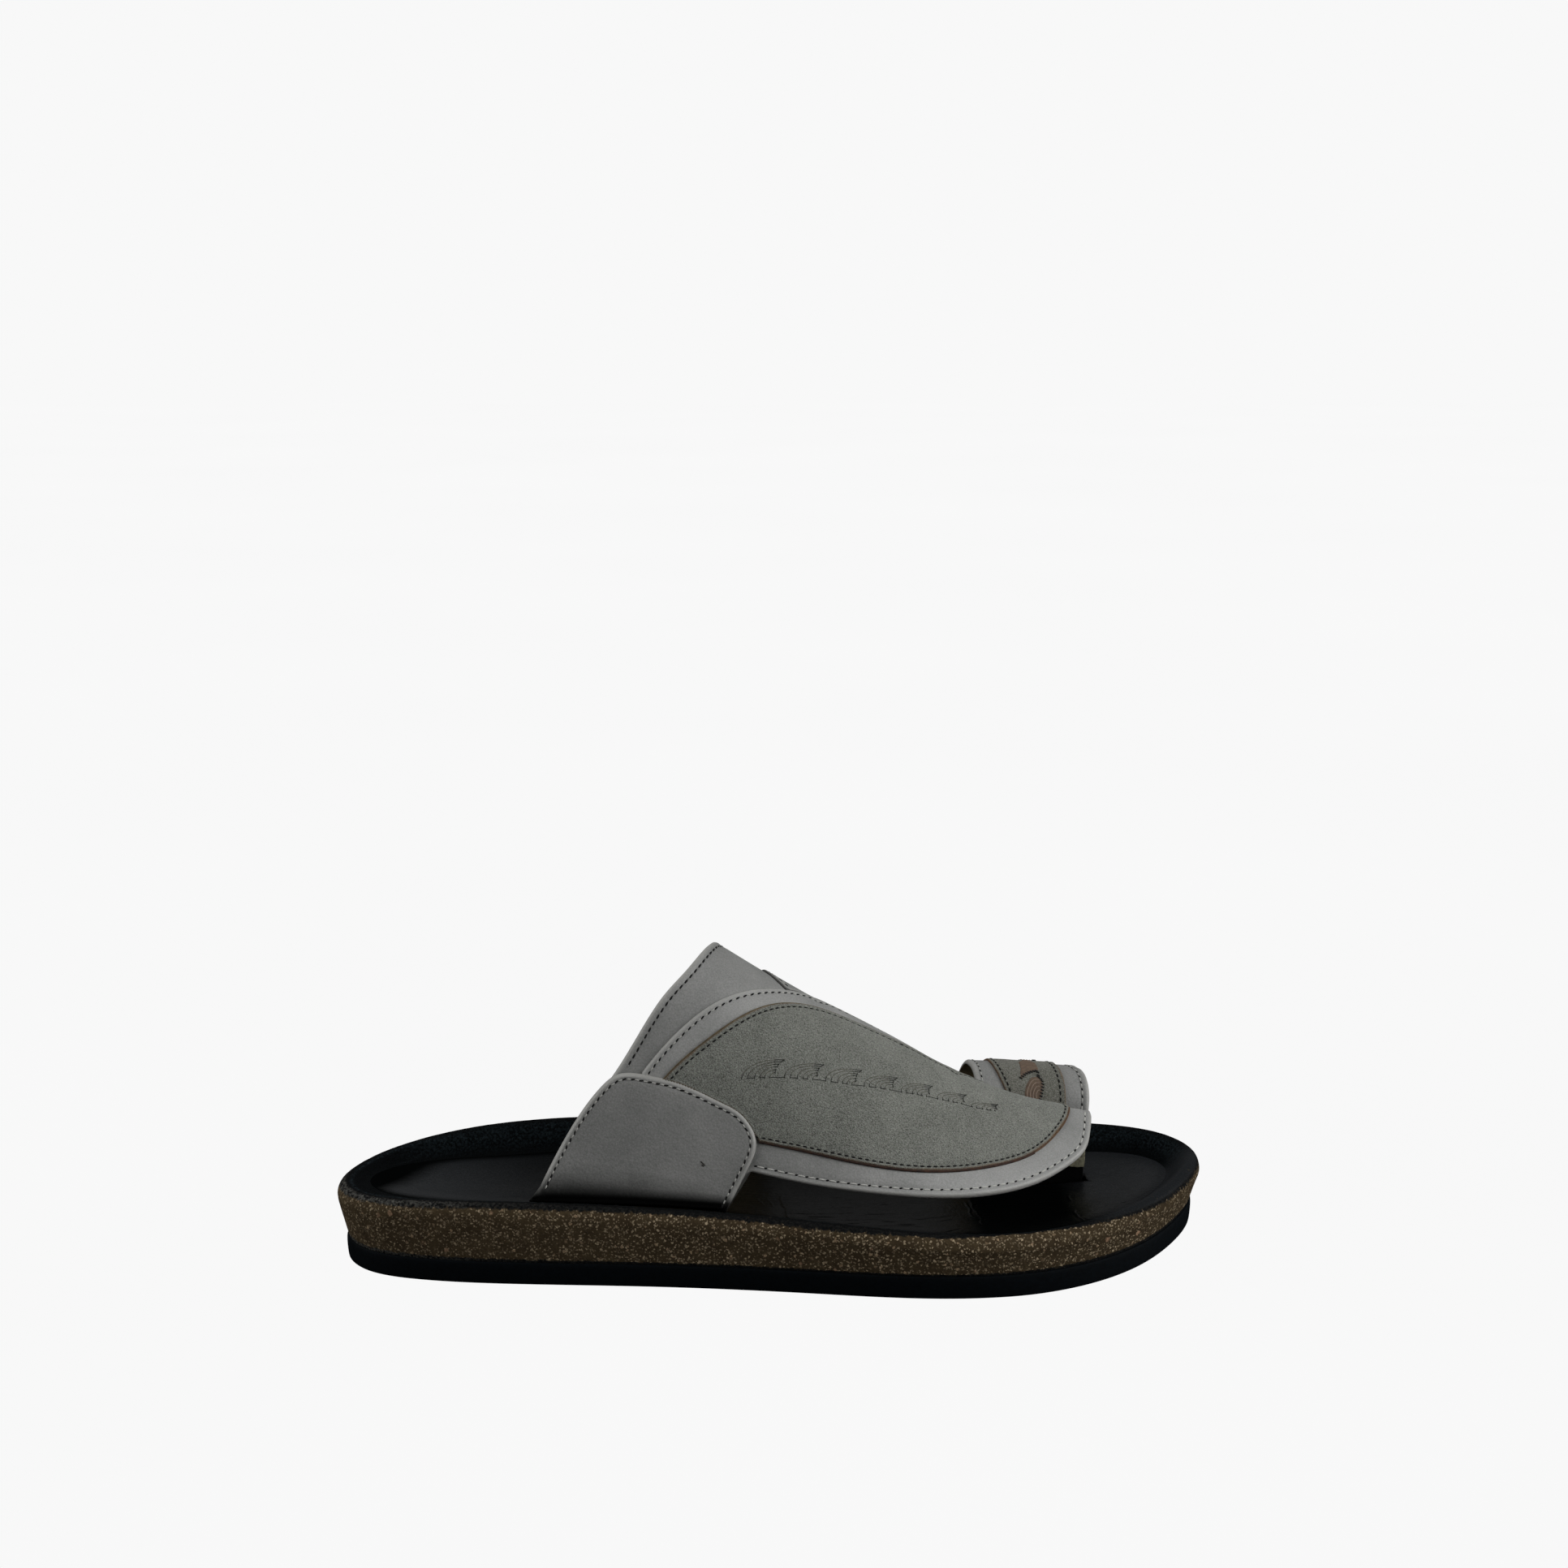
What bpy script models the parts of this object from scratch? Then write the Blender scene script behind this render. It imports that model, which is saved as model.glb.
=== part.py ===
"""Arabic sandal for the right foot.

A cupped cork footbed stands on a rubber outsole and is lined with a leather insole. The upper is one
leather wall: an instep band, a vamp that narrows towards the toes, a fold that drops between the first
two toes as the toe post, and a loop over the big toe. Overlays of leather and nubuck lie on that wall.

Sizes are in millimetres. Along runs from the back of the heel to the toe, across is positive on the
medial side, where the big toe is, and up is measured from the floor.
"""

import math

import bmesh
import bpy
import numpy as np
from mathutils import Vector
from mathutils.geometry import delaunay_2d_cdt

MM = 0.001
LENGTH = 286.0
GAP = 0.3

# Sole: plan outline at the rim, half-widths on either side of the long axis.
HEEL_BACK = (1.8, 0.0)
TOE_TIP = (LENGTH, 3.0)
SOLE_WIDTHS = (
    # along, lateral, medial
    (10.0, 19.6, 18.8),
    (30.0, 29.8, 30.6),
    (60.0, 35.3, 35.4),
    (100.0, 39.6, 37.5),
    (150.0, 47.8, 40.3),
    (200.0, 55.4, 46.8),
    (235.0, 50.4, 45.9),
    (262.0, 36.4, 39.4),
    (277.0, 19.4, 29.2),
)
RIM_HEIGHTS = (
    # along, lateral, medial
    (0.0, 25.0, 25.0),
    (50.0, 27.0, 32.5),
    (110.0, 25.6, 33.2),
    (170.0, 22.6, 29.0),
    (230.0, 20.6, 26.8),
    (286.0, 28.0, 28.0),
)
FOOT_FLOOR = (
    # along, up
    (0.0, 23.2),
    (60.0, 21.8),
    (120.0, 20.8),
    (190.0, 16.5),
    (240.0, 16.8),
    (286.0, 21.0),
)
RIM_BLEND = 22.0
OUTSOLE_THICK = 7.4
TOE_SPRING = 6.6
SPRING_START = 215.0
SIDE_FLARE = 2.0
END_FLARE = 3.0

# Cup of the footbed: a steep wall behind the rim, a dished floor and a medial arch.
WALL_TOP = 3.2
WALL_FOOT = 11.0
FLOOR_DISH = 1.6
DISH_RUN = 30.0
ARCH_RISE = 4.0
ARCH_ALONG = 118.0
ARCH_SPREAD = 30.0
ARCH_ACROSS = (2.0, 26.0)
INSOLE_THICK = 2.2
INSOLE_EDGE = 13.4

# Each row is one ring of the outsole's side: inset behind the flare line, height above the floor.
# The lower edge is rounded further in at the heel and the toe than along the sides.
OUTSOLE_RINGS = (
    # inset, up
    (2.6, 0.0),
    (1.2, 0.4),
    (0.3, 1.6),
    (-0.2, 4.2),
    (-0.2, 6.8),
    (0.4, OUTSOLE_THICK),
)
END_ROUNDING = 1.5

# Each row is one ring of the midsole's side and rim, as shares of the flare and of the side's height,
# with the inset and drop of the rounded rim in millimetres.
MIDSOLE_RINGS = (
    # flare share, height share, inset, drop
    (1.0, 0.0, 0.5, 0.0),
    (1.0, 0.05, 0.0, 0.0),
    (0.45, 0.5, 0.0, 0.0),
    (0.0, 1.0, 0.0, 4.2),
    (0.0, 1.0, 0.5, 1.9),
    (0.0, 1.0, 1.6, 0.5),
)
WALL_RINGS = (3.2, 5.4, 7.2, 9.0, 11.0, 13.0)

# Upper: sections of the last, on the foot side of the wall.
LAST_SECTIONS = (
    # along, lateral, medial, crest across, crest up, level, fullness
    (55.0, 22.1, 22.3, 2.0, 147.0, 14.0, 2.0),
    (95.0, 26.8, 24.8, 2.0, 120.0, 14.0, 2.0),
    (125.0, 31.6, 26.2, 2.5, 100.5, 14.0, 2.0),
    (157.0, 40.2, 31.0, 2.5, 80.5, 13.0, 1.9),
    (187.0, 45.0, 36.0, 1.0, 64.5, 12.0, 1.65),
    (205.0, 43.0, 38.0, 0.0, 53.7, 12.0, 1.55),
    (225.0, 36.0, 38.0, 0.0, 45.3, 12.0, 1.5),
    (250.0, 24.0, 35.0, 0.0, 40.3, 12.0, 1.5),
)
LATERAL_GIRTH = 80.0
MEDIAL_GIRTH = 110.0
LOOP_BLEND = (180.0, 202.0)
POST_ACROSS = 10.3
POST_FOLD = 3.3
VAMP_SHOULDER = 5.5
LOOP_ROUNDING = 0.46
LOOP_CREST_BACK = (211.0, 52.8)
LOOP_CREST_SLOPE = -0.06
LOOP_SEAT_INSET = 8.6
WALL = 1.5
LEAF_THICK = 0.9
NUBUCK_THICK = 0.9
STRIP_THICK = 0.5
TAB_THICK = 1.6
SHARP_ANGLE = 35.0


def curve_through(stations, values):
    """Natural cubic curve through the values, straight beyond both ends."""
    x = np.asarray(stations, float)
    y = np.asarray(values, float)
    step = np.diff(x)
    slope = np.diff(y) / step
    count = len(x)
    matrix = np.eye(count)
    right = np.zeros(count)
    for i in range(1, count - 1):
        matrix[i, i - 1:i + 2] = (step[i - 1], 2 * (step[i - 1] + step[i]), step[i])
        right[i] = 6 * (slope[i] - slope[i - 1])
    bend = np.linalg.solve(matrix, right)
    first_slope = slope[0] - step[0] * bend[1] / 6
    last_slope = slope[-1] + step[-1] * bend[-2] / 6

    def at(station):
        if station <= x[0]:
            return y[0] + (station - x[0]) * first_slope
        if station >= x[-1]:
            return y[-1] + (station - x[-1]) * last_slope
        i = int(np.searchsorted(x, station)) - 1
        a = (x[i + 1] - station) / step[i]
        b = (station - x[i]) / step[i]
        bow = (a ** 3 - a) * bend[i] + (b ** 3 - b) * bend[i + 1]
        return a * y[i] + b * y[i + 1] + bow * step[i] ** 2 / 6

    return at


def column_curves(table):
    """One curve for each column of a table whose first column is the place along."""
    columns = list(zip(*table))
    return [curve_through(columns[0], column) for column in columns[1:]]


def smooth_run(points, spacing):
    """Points about one spacing apart on a smooth curve through the given plane points."""
    points = np.asarray(points, float)
    chord = np.concatenate(([0.0], np.cumsum(np.linalg.norm(np.diff(points, axis=0), axis=1))))
    curves = [curve_through(chord, points[:, k]) for k in range(2)]
    count = max(1, round(chord[-1] / spacing))
    return [tuple(curve(t) for curve in curves) for t in np.linspace(0, chord[-1], count + 1)]


def smoothstep(low, high, value):
    t = min(max((value - low) / (high - low), 0.0), 1.0)
    return t * t * (3 - 2 * t)


def sole_outline(spacing):
    """Closed plan outline of the sole at its rim, from the heel round the lateral side."""
    lateral = [(along, -half) for along, half, _ in SOLE_WIDTHS]
    medial = [(along, half) for along, _, half in reversed(SOLE_WIDTHS)]
    loop = [HEEL_BACK, *lateral, TOE_TIP, *medial]
    wrap = 3
    points = np.asarray(loop[-wrap:] + loop + loop[:wrap + 1], float)
    chord = np.concatenate(([0.0], np.cumsum(np.linalg.norm(np.diff(points, axis=0), axis=1))))
    curves = [curve_through(chord, points[:, k]) for k in range(2)]
    start = chord[wrap]
    end = chord[wrap + len(loop)]
    count = round((end - start) / spacing)
    places = start + (end - start) * np.arange(count) / count
    return np.array([[curve(t) for curve in curves] for t in places])


WELD = 1e-6
FILL_MARGIN = 2.0
RING_SPACING = 6.5
FINE_SPACING = 1.5
RIM = sole_outline(RING_SPACING)
FINE_RIM = sole_outline(FINE_SPACING)
ALONG_CENTRE, ACROSS_CENTRE = (FINE_RIM.min(axis=0) + FINE_RIM.max(axis=0)) / 2

rim_lateral, rim_medial = column_curves(RIM_HEIGHTS)
(floor_up,) = column_curves(FOOT_FLOOR)
lateral_half, medial_half, crest_across, crest_up, last_level, fullness = column_curves(LAST_SECTIONS)
medial_outline = column_curves([(0.0, 0.0, 0.0), *SOLE_WIDTHS])[1]


def place(along, across, up):
    """Point of the part's frame, in metres, with its origin under the middle of the sole."""
    return Vector(((along - ALONG_CENTRE) * MM, (across - ACROSS_CENTRE) * MM, up * MM))


def outward(ring):
    """Plan directions pointing out of a closed ring."""
    tangent = np.roll(ring, -1, axis=0) - np.roll(ring, 1, axis=0)
    normal = np.stack((tangent[:, 1], -tangent[:, 0]), axis=1)
    normal /= np.linalg.norm(normal, axis=1)[:, None]
    middle = ring.mean(axis=0)
    turn = np.sign(np.sum(normal * (ring - middle), axis=1).sum())
    return normal * turn


RIM_OUT = outward(RIM)


def rim_up(along, across):
    share = smoothstep(-RIM_BLEND, RIM_BLEND, across)
    return rim_lateral(along) * (1 - share) + rim_medial(along) * share


def spring_up(along):
    t = max(0.0, (along - SPRING_START) / (LENGTH - SPRING_START))
    return TOE_SPRING * t * t


def inset_from_rim(along, across):
    """Distance behind the rim outline, and the rim point that is nearest."""
    gaps = np.hypot(FINE_RIM[:, 0] - along, FINE_RIM[:, 1] - across)
    nearest = int(gaps.argmin())
    return gaps[nearest], FINE_RIM[nearest]


def foot_up(along, across, inset):
    """Height of the insole's upper face: a dished floor with a rise under the medial arch."""
    dish = FLOOR_DISH * (1 - smoothstep(WALL_FOOT, DISH_RUN, inset))
    spread = (along - ARCH_ALONG) / ARCH_SPREAD
    arch = ARCH_RISE * math.exp(-spread * spread / 2) * smoothstep(*ARCH_ACROSS, across)
    return floor_up(along) + dish + arch


def wall_up(along, across):
    """Height of the midsole's inner wall, from the rim down to the edge of the insole."""
    inset, rim = inset_from_rim(along, across)
    foot = foot_up(along, across, inset)
    return foot + (rim_up(*rim) - foot) * (1 - smoothstep(WALL_TOP, WALL_FOOT, inset))


def insole_up(along, across):
    return foot_up(along, across, inset_from_rim(along, across)[0])


def cork_up(along, across):
    """Height of the midsole's floor, one insole below the foot."""
    return insole_up(along, across) - INSOLE_THICK - GAP


def inset_ring(inset):
    return RIM - RIM_OUT * np.asarray(inset).reshape(-1, 1)


def flare():
    """How far the lower edge stands in behind the rim at each ring point."""
    return SIDE_FLARE + (END_FLARE - SIDE_FLARE) * RIM_OUT[:, 0] ** 2


def inside(point, loop):
    """Whether a plane point lies inside a closed loop."""
    x, y = point
    hit = False
    for (x0, y0), (x1, y1) in zip(loop, np.roll(loop, -1, axis=0)):
        if (y0 > y) != (y1 > y) and x < x0 + (y - y0) / (y1 - y0) * (x1 - x0):
            hit = not hit
    return hit


def clearance(point, loop):
    """Distance from a plane point to a closed loop."""
    start = np.asarray(loop, float)
    run = np.roll(start, -1, axis=0) - start
    t = np.sum((point - start) * run, axis=1) / np.sum(run * run, axis=1)
    foot = start + run * np.clip(t, 0, 1)[:, None]
    return np.linalg.norm(foot - point, axis=1).min()


def fill(loops, lattice, margin):
    """Triangles between an outer loop and its holes, using the lattice points that lie well inside."""
    loops = [np.asarray(loop, float) for loop in loops]
    points = [tuple(p) for loop in loops for p in loop]
    edges = []
    start = 0
    for loop in loops:
        count = len(loop)
        edges += [(start + i, start + (i + 1) % count) for i in range(count)]
        start += count

    def is_inner(p):
        return inside(p, loops[0]) and not any(inside(p, hole) for hole in loops[1:])

    for p in lattice:
        if is_inner(p) and min(clearance(np.asarray(p), loop) for loop in loops) > margin:
            points.append(tuple(p))
    _, _, faces, sources, _, _ = delaunay_2d_cdt([Vector(p) for p in points], edges, [], 0, WELD)
    flat = [points[source[0]] for source in sources]
    kept = []
    for face in faces:
        if is_inner(np.mean([flat[i] for i in face], axis=0)):
            kept.append(tuple(face))
    return flat, kept


def boundary_edges(faces):
    """Directed edges that belong to one triangle only."""
    directed = {(face[i], face[(i + 1) % 3]) for face in faces for i in range(3)}
    return [(a, b) for a, b in directed if (b, a) not in directed]


def sheet_mesh(loops, lattice, margin, lower, upper):
    """Closed solid between two surfaces over a filled plane outline."""
    flat, faces = fill(loops, lattice, margin)
    used = sorted({i for face in faces for i in face})
    order = {old: new for new, old in enumerate(used)}
    count = len(used)
    vertices = [lower(*flat[i]) for i in used] + [upper(*flat[i]) for i in used]
    top = [tuple(count + order[i] for i in face) for face in faces]
    bottom = [tuple(order[i] for i in reversed(face)) for face in faces]
    walls = []
    for a, b in sorted(boundary_edges(faces)):
        a = order[a]
        b = order[b]
        walls += [(a, b, count + b), (a, count + b, count + a)]
    return vertices, top + bottom + walls


def stack_mesh(rings, lower_fill, upper_fill):
    """Closed solid from a stack of rings, with its two ends closed by filled surfaces.

    Each fill holds plane lattice points and the height function that carries them.
    """
    count = len(rings[0])
    vertices = [tuple(p) for ring in rings for p in ring]
    faces = []
    for k in range(len(rings) - 1):
        for i in range(count):
            j = (i + 1) % count
            a, b, c, d = k * count + i, k * count + j, (k + 1) * count + j, (k + 1) * count + i
            faces += [(a, b, c), (a, c, d)]
    for base, ring, (lattice, height), is_top in (
        (0, rings[0], lower_fill, False),
        ((len(rings) - 1) * count, rings[-1], upper_fill, True),
    ):
        plan = [(p[0], p[1]) for p in ring]
        flat, triangles = fill([plan], lattice, FILL_MARGIN)
        index = {p: base + i for i, p in enumerate(plan)}
        numbers = []
        for p in flat:
            if p not in index:
                index[p] = len(vertices)
                vertices.append((*p, height(*p)))
            numbers.append(index[p])
        for face in triangles:
            face = [numbers[i] for i in face]
            faces.append(tuple(face) if is_top else tuple(reversed(face)))
    return [place(*p) for p in vertices], faces


def make_object(name, mesh_data, material):
    """Named object with outward faces, smooth shaded except at its edges."""
    vertices, faces = mesh_data
    mesh = bpy.data.meshes.new(name)
    mesh.from_pydata([tuple(v) for v in vertices], [], faces)
    shape = bmesh.new()
    shape.from_mesh(mesh)
    bmesh.ops.recalc_face_normals(shape, faces=shape.faces)
    shape.to_mesh(mesh)
    shape.free()
    mesh.shade_smooth()
    mesh.set_sharp_from_angle(angle=math.radians(SHARP_ANGLE))
    mesh.materials.append(material)
    item = bpy.data.objects.new(name, mesh)
    bpy.context.scene.collection.objects.link(item)
    return item


def make_material(name, colour, roughness):
    material = bpy.data.materials.new(name)
    material.use_nodes = True
    shader = material.node_tree.nodes["Principled BSDF"]
    shader.inputs["Base Color"].default_value = (*colour, 1.0)
    shader.inputs["Roughness"].default_value = roughness
    shader.inputs["Metallic"].default_value = 0.0
    material.diffuse_color = (*colour, 1.0)
    return material


def rounded_path(corners, radii, counts):
    """Pieces of a plane path whose corners are rounded: lines and arcs with their step counts."""
    points = [np.asarray(p, float) for p in corners]
    pieces = []
    cursor = points[0]
    steps = iter(counts)
    for before, corner, after, radius in zip(points, points[1:], points[2:], radii):
        into = (corner - before) / np.linalg.norm(corner - before)
        out = (after - corner) / np.linalg.norm(after - corner)
        turn = math.atan2(into[0] * out[1] - into[1] * out[0], float(into @ out))
        reach = radius * math.tan(abs(turn) / 2)
        start = corner - into * reach
        side = np.array((-into[1], into[0])) * math.copysign(1, turn)
        centre = start + side * radius
        pieces.append(("line", cursor, start, next(steps)))
        pieces.append(("arc", centre, start - centre, turn, next(steps)))
        cursor = corner + out * reach
    pieces.append(("line", cursor, points[-1], next(steps)))
    return pieces


def path_point(pieces, share):
    """Point at a share of the path's steps."""
    total = sum(piece[-1] for piece in pieces)
    left = share * total
    for piece in pieces:
        if left <= piece[-1] or piece is pieces[-1]:
            t = left / piece[-1]
            if piece[0] == "line":
                return piece[1] + (piece[2] - piece[1]) * t
            angle = piece[3] * t
            spoke = piece[2]
            turned = (
                spoke[0] * math.cos(angle) - spoke[1] * math.sin(angle),
                spoke[0] * math.sin(angle) + spoke[1] * math.cos(angle),
            )
            return piece[1] + np.array(turned)
        left -= piece[-1]
    return pieces[-1][2]


# Shares of the girth given to each line and arc of the section through post and loop.
LOOP_STEPS = (1, 4, 2, 4, 0.01, 4, 3, 5, 1, 5, 3)
LOOP_STEP_TOTAL = sum(LOOP_STEPS)
FOLD_ROUNDING = 0.998


def loop_crest_up(along):
    return LOOP_CREST_BACK[1] + LOOP_CREST_SLOPE * (along - LOOP_CREST_BACK[0])


def loop_shoulder(along):
    """Radius of both shoulders of the toe loop, a share of its width so that its crest stays flat."""
    return LOOP_ROUNDING * (medial_outline(along) - LOOP_SEAT_INSET - POST_ACROSS - POST_FOLD)


def loop_pieces(along):
    """Section through vamp shoulder, toe post fold and toe loop."""
    crest = crest_up(along)
    post_foot = floor_up(along) - INSOLE_THICK + GAP / 3
    loop_crest = loop_crest_up(along)
    near = POST_ACROSS - POST_FOLD
    far = POST_ACROSS + POST_FOLD
    seat = medial_outline(along) - LOOP_SEAT_INSET
    corners = (
        (crest_across(along), crest),
        (near, crest),
        (near, post_foot),
        (far, post_foot),
        (far, loop_crest),
        (seat, loop_crest),
        (seat, last_level(along)),
    )
    fold = POST_FOLD * FOLD_ROUNDING
    shoulder = loop_shoulder(along)
    radii = (VAMP_SHOULDER, fold, fold, shoulder, shoulder)
    return rounded_path(corners, radii, LOOP_STEPS)


def last_point(along, girth):
    """Foot-side point of the upper. Girth is 0 on the crest, negative on the lateral side."""
    crest = crest_up(along)
    middle = crest_across(along)
    level = last_level(along)
    power = fullness(along)
    lateral = girth < 0
    share = -girth / LATERAL_GIRTH if lateral else girth / MEDIAL_GIRTH
    angle = (1 - share) * math.pi / 2
    c = max(math.cos(angle), 0.0)
    s = math.sin(angle)
    reach = (c ** power + abs(s) ** power) ** (-1 / power)
    half = -(lateral_half(along) + middle) if lateral else medial_half(along) - middle
    across = middle + half * reach * c
    up = level + (crest - level) * reach * s
    if lateral:
        return np.array((along, across, up))
    blend = smoothstep(*LOOP_BLEND, along)
    if blend > 0:
        loop = path_point(loop_pieces(along), min(share, 1.0))
        across = across * (1 - blend) + loop[0] * blend
        up = up * (1 - blend) + loop[1] * blend
    return np.array((along, across, up))


NORMAL_STEP = 0.4


def last_normal(along, girth):
    """Direction away from the foot."""
    forward = last_point(along + NORMAL_STEP, girth) - last_point(along - NORMAL_STEP, girth)
    around = last_point(along, girth + NORMAL_STEP) - last_point(along, girth - NORMAL_STEP)
    normal = np.cross(forward, around)
    return normal / np.linalg.norm(normal)


def on_last(offset):
    """Surface function at a distance from the foot side of the upper, in the part's frame."""
    return lambda along, girth: place(*(last_point(along, girth) + offset * last_normal(along, girth)))


def side_girth(along, up, side):
    """Girth of a point given by its height on the lateral (-1) or medial (1) side of the instep."""
    level = last_level(along)
    power = fullness(along)
    h = min(max((up - level) / (crest_up(along) - level), 0.0), 1.0)
    u = (1 - h ** power) ** (1 / power)
    share = 1 - math.atan2(h, u) / (math.pi / 2)
    return share * MEDIAL_GIRTH if side > 0 else -share * LATERAL_GIRTH


# Flat pattern: every outline below is drawn on the plane of along and girth.
LATTICE = 7.0
LATTICE_START = 50.0
EDGE_SPACING = 5.0
TAB_SPACING = 3.5
MARGIN = 1.9
JOIN = 0.6
LINE_JOIN = 0.8
LOOP_LINE = MEDIAL_GIRTH / LOOP_STEP_TOTAL
LOOP_REGION = 200.0
MIRROR = -MEDIAL_GIRTH / LATERAL_GIRTH

TAB_EDGE = (
    # along, girth
    (65.6, -75.3),
    (74.6, -67.4),
    (87.4, -57.1),
    (92.6, -54.0),
    (103.2, -52.2),
    (112.0, -51.6),
    (127.6, -52.7),
    (133.5, -53.9),
    (137.5, -57.6),
    (134.9, -64.9),
    (129.4, -72.5),
)
COLLAR_EDGE = (
    # along, girth
    (74.6, -67.4),
    (92.2, -54.3),
    (108.3, -34.7),
    (115.0, -25.1),
    (120.2, -13.8),
    (123.9, 0.0),
)
LEAF_UNDER_TAB = (
    # along, girth
    (77.0, -67.5),
    (89.5, -58.0),
    (97.0, -55.0),
)
LEAF_BACK = (
    # along, girth
    (101.4, -52.3),
    (115.0, -39.2),
    (129.0, -25.0),
    (140.8, -13.3),
    (147.9, -6.3),
    (156.0, 1.0),
    (166.0, 7.5),
    (178.0, 10.8),
    (191.0, 12.0),
    (203.0, 14.0),
)
LEAF_LOWER = (
    # along, girth
    (248.8, -2.2),
    (245.6, -20.5),
    (238.3, -37.6),
    (225.3, -50.3),
    (209.1, -57.9),
    (192.1, -61.7),
    (172.1, -63.8),
    (154.0, -65.0),
    (135.7, -65.5),
)
WING_BACK = (
    # along, girth
    (114.4, 71.9),
    (125.0, 56.0),
    (135.0, 36.0),
    (139.5, 16.0),
    (140.9, 3.6),
    (147.0, -5.6),
)
MEDIAL_FRONT = (
    # along, girth
    (144.0, 92.0),
    (149.0, 72.0),
    (156.0, 48.0),
    (162.0, 30.0),
    (169.0, 17.0),
    (178.0, 10.8),
)
NUBUCK_BACK = (
    # along, girth
    (110.1, -50.8),
    (122.7, -40.0),
    (135.2, -27.5),
    (148.2, -15.1),
    (159.8, -8.0),
    (173.4, -5.0),
    (190.0, -2.4),
    (202.0, 0.6),
    (212.0, 4.0),
    (223.0, 5.8),
    (233.0, 6.0),
    (239.0, 3.0),
    (240.4, -3.5),
    (235.0, -20.0),
    (225.8, -34.6),
    (209.1, -46.0),
    (189.9, -53.2),
    (171.9, -55.8),
    (154.0, -56.9),
    (138.6, -58.2),
)
LOOP_BACK = (
    # girth, along
    (14.0, 203.0),
    (24.0, 211.0),
    (38.0, 214.0),
    (68.8, 212.9),
    (78.2, 212.0),
    (90.0, 210.3),
    (110.0, 205.0),
)
LOOP_FRONT = (
    # girth, along
    (-2.2, 248.8),
    (12.0, 249.0),
    (38.0, 247.0),
    (64.0, 250.6),
    (76.0, 250.2),
    (84.0, 248.2),
    (95.0, 245.0),
    (110.0, 240.5),
)
STRIP_BACK = (
    # girth, along
    (55.0, 221.5),
    (66.9, 222.0),
    (76.1, 218.5),
    (90.0, 214.3),
    (104.0, 210.5),
)
STRIP_FRONT = (
    # girth, along
    (55.0, 242.3),
    (68.6, 242.2),
    (76.1, 241.0),
    (90.0, 237.5),
    (104.0, 233.5),
)
LEAF_POST_EDGE = 6 * LOOP_LINE
LEAF_POST_RUN = (212.0, 246.5)
WING_BESIDE_LEAF = (148.5, 172.0)

# Lower edges of the lateral straps, from back to front, and of the toe loop.
STRAP_SEAT = (64.5, 127.5)
TAB_SEAT = (63.5, 128.0)
LEAF_SEAT = (66.5, 126.0)
LOOP_SEAT = (205.0, 240.5)
SEAT_GUESS = 0.95
SEAT_CLEAR = 0.4
SLOT_ROOM = 0.8
SLOT_CLEAR = 0.5

# The medial straps run further forward than the lateral ones below the crest.
MEDIAL_LEAD = 13.0
LEAD_RUN = 40.0

# Distances from the foot side of the wall to the faces of each layer.
LEAF_BASE = WALL + GAP
LEAF_TOP = LEAF_BASE + LEAF_THICK
NUBUCK_BASE = LEAF_TOP + GAP
NUBUCK_TOP = NUBUCK_BASE + NUBUCK_THICK
TAB_TOP = NUBUCK_BASE + TAB_THICK


def loop_leg_girth(along, up):
    """Girth of a height on the straight medial leg of the toe loop."""
    leg = LOOP_STEPS[-1]
    top = loop_crest_up(along) - loop_shoulder(along)
    share = (top - up) / (top - last_level(along))
    return (LOOP_STEP_TOTAL - leg + leg * share) * LOOP_LINE


def seat_girth(along, offset, side):
    """Girth at which a wall's lower edge rests just above the midsole."""
    low = side * (MEDIAL_GIRTH if side > 0 else LATERAL_GIRTH) * SEAT_GUESS
    for _ in range(3):
        across = last_point(along, low)[1] + side * offset
        up = wall_up(along, across) + SEAT_CLEAR
        low = loop_leg_girth(along, up) if along > LOOP_REGION else side_girth(along, up, side)
    return low


def seat_run(span, offset, side):
    """Lower edge of a wall between two places along."""
    start, end = span
    count = max(2, round(abs(end - start) / LATTICE))
    return [(s, seat_girth(s, offset, side)) for s in np.linspace(start, end, count + 1)]


def medial_span(span):
    return tuple(along + MEDIAL_LEAD for along in span)


def mirrored(points):
    """The same pattern points on the medial side."""
    turned = [(along, girth * MIRROR) for along, girth in points]
    return [(along + MEDIAL_LEAD * smoothstep(0, LEAD_RUN, girth), girth) for along, girth in turned]


def across_lines(table, start, end):
    """Points of a loop edge on the fold lines of the loop, between two girths."""
    girths, alongs = zip(*table)
    edge = curve_through(girths, alongs)
    low, high = sorted((start, end))
    lines = [k * LOOP_LINE for k in range(math.ceil(low / LOOP_LINE), math.floor(high / LOOP_LINE) + 1)]
    stops = [low] + [g for g in lines if low + LINE_JOIN < g < high - LINE_JOIN] + [high]
    if start > end:
        stops.reverse()
    return [(edge(g), g) for g in stops]


def shifted(run, distance):
    """A run moved to its left by a distance on the pattern plane."""
    points = np.asarray(run, float)
    tangent = np.gradient(points, axis=0)
    left = np.stack((-tangent[:, 1], tangent[:, 0]), axis=1)
    left /= np.linalg.norm(left, axis=1)[:, None]
    return [tuple(p) for p in points + left * distance]


def joined(*runs):
    """Closed outline from runs that follow each other, without doubled points."""
    outline = []
    for run in runs:
        for p in run:
            if not outline or math.dist(p, outline[-1]) > JOIN:
                outline.append(tuple(p))
    while math.dist(outline[0], outline[-1]) <= JOIN:
        outline.pop()
    return outline


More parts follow.
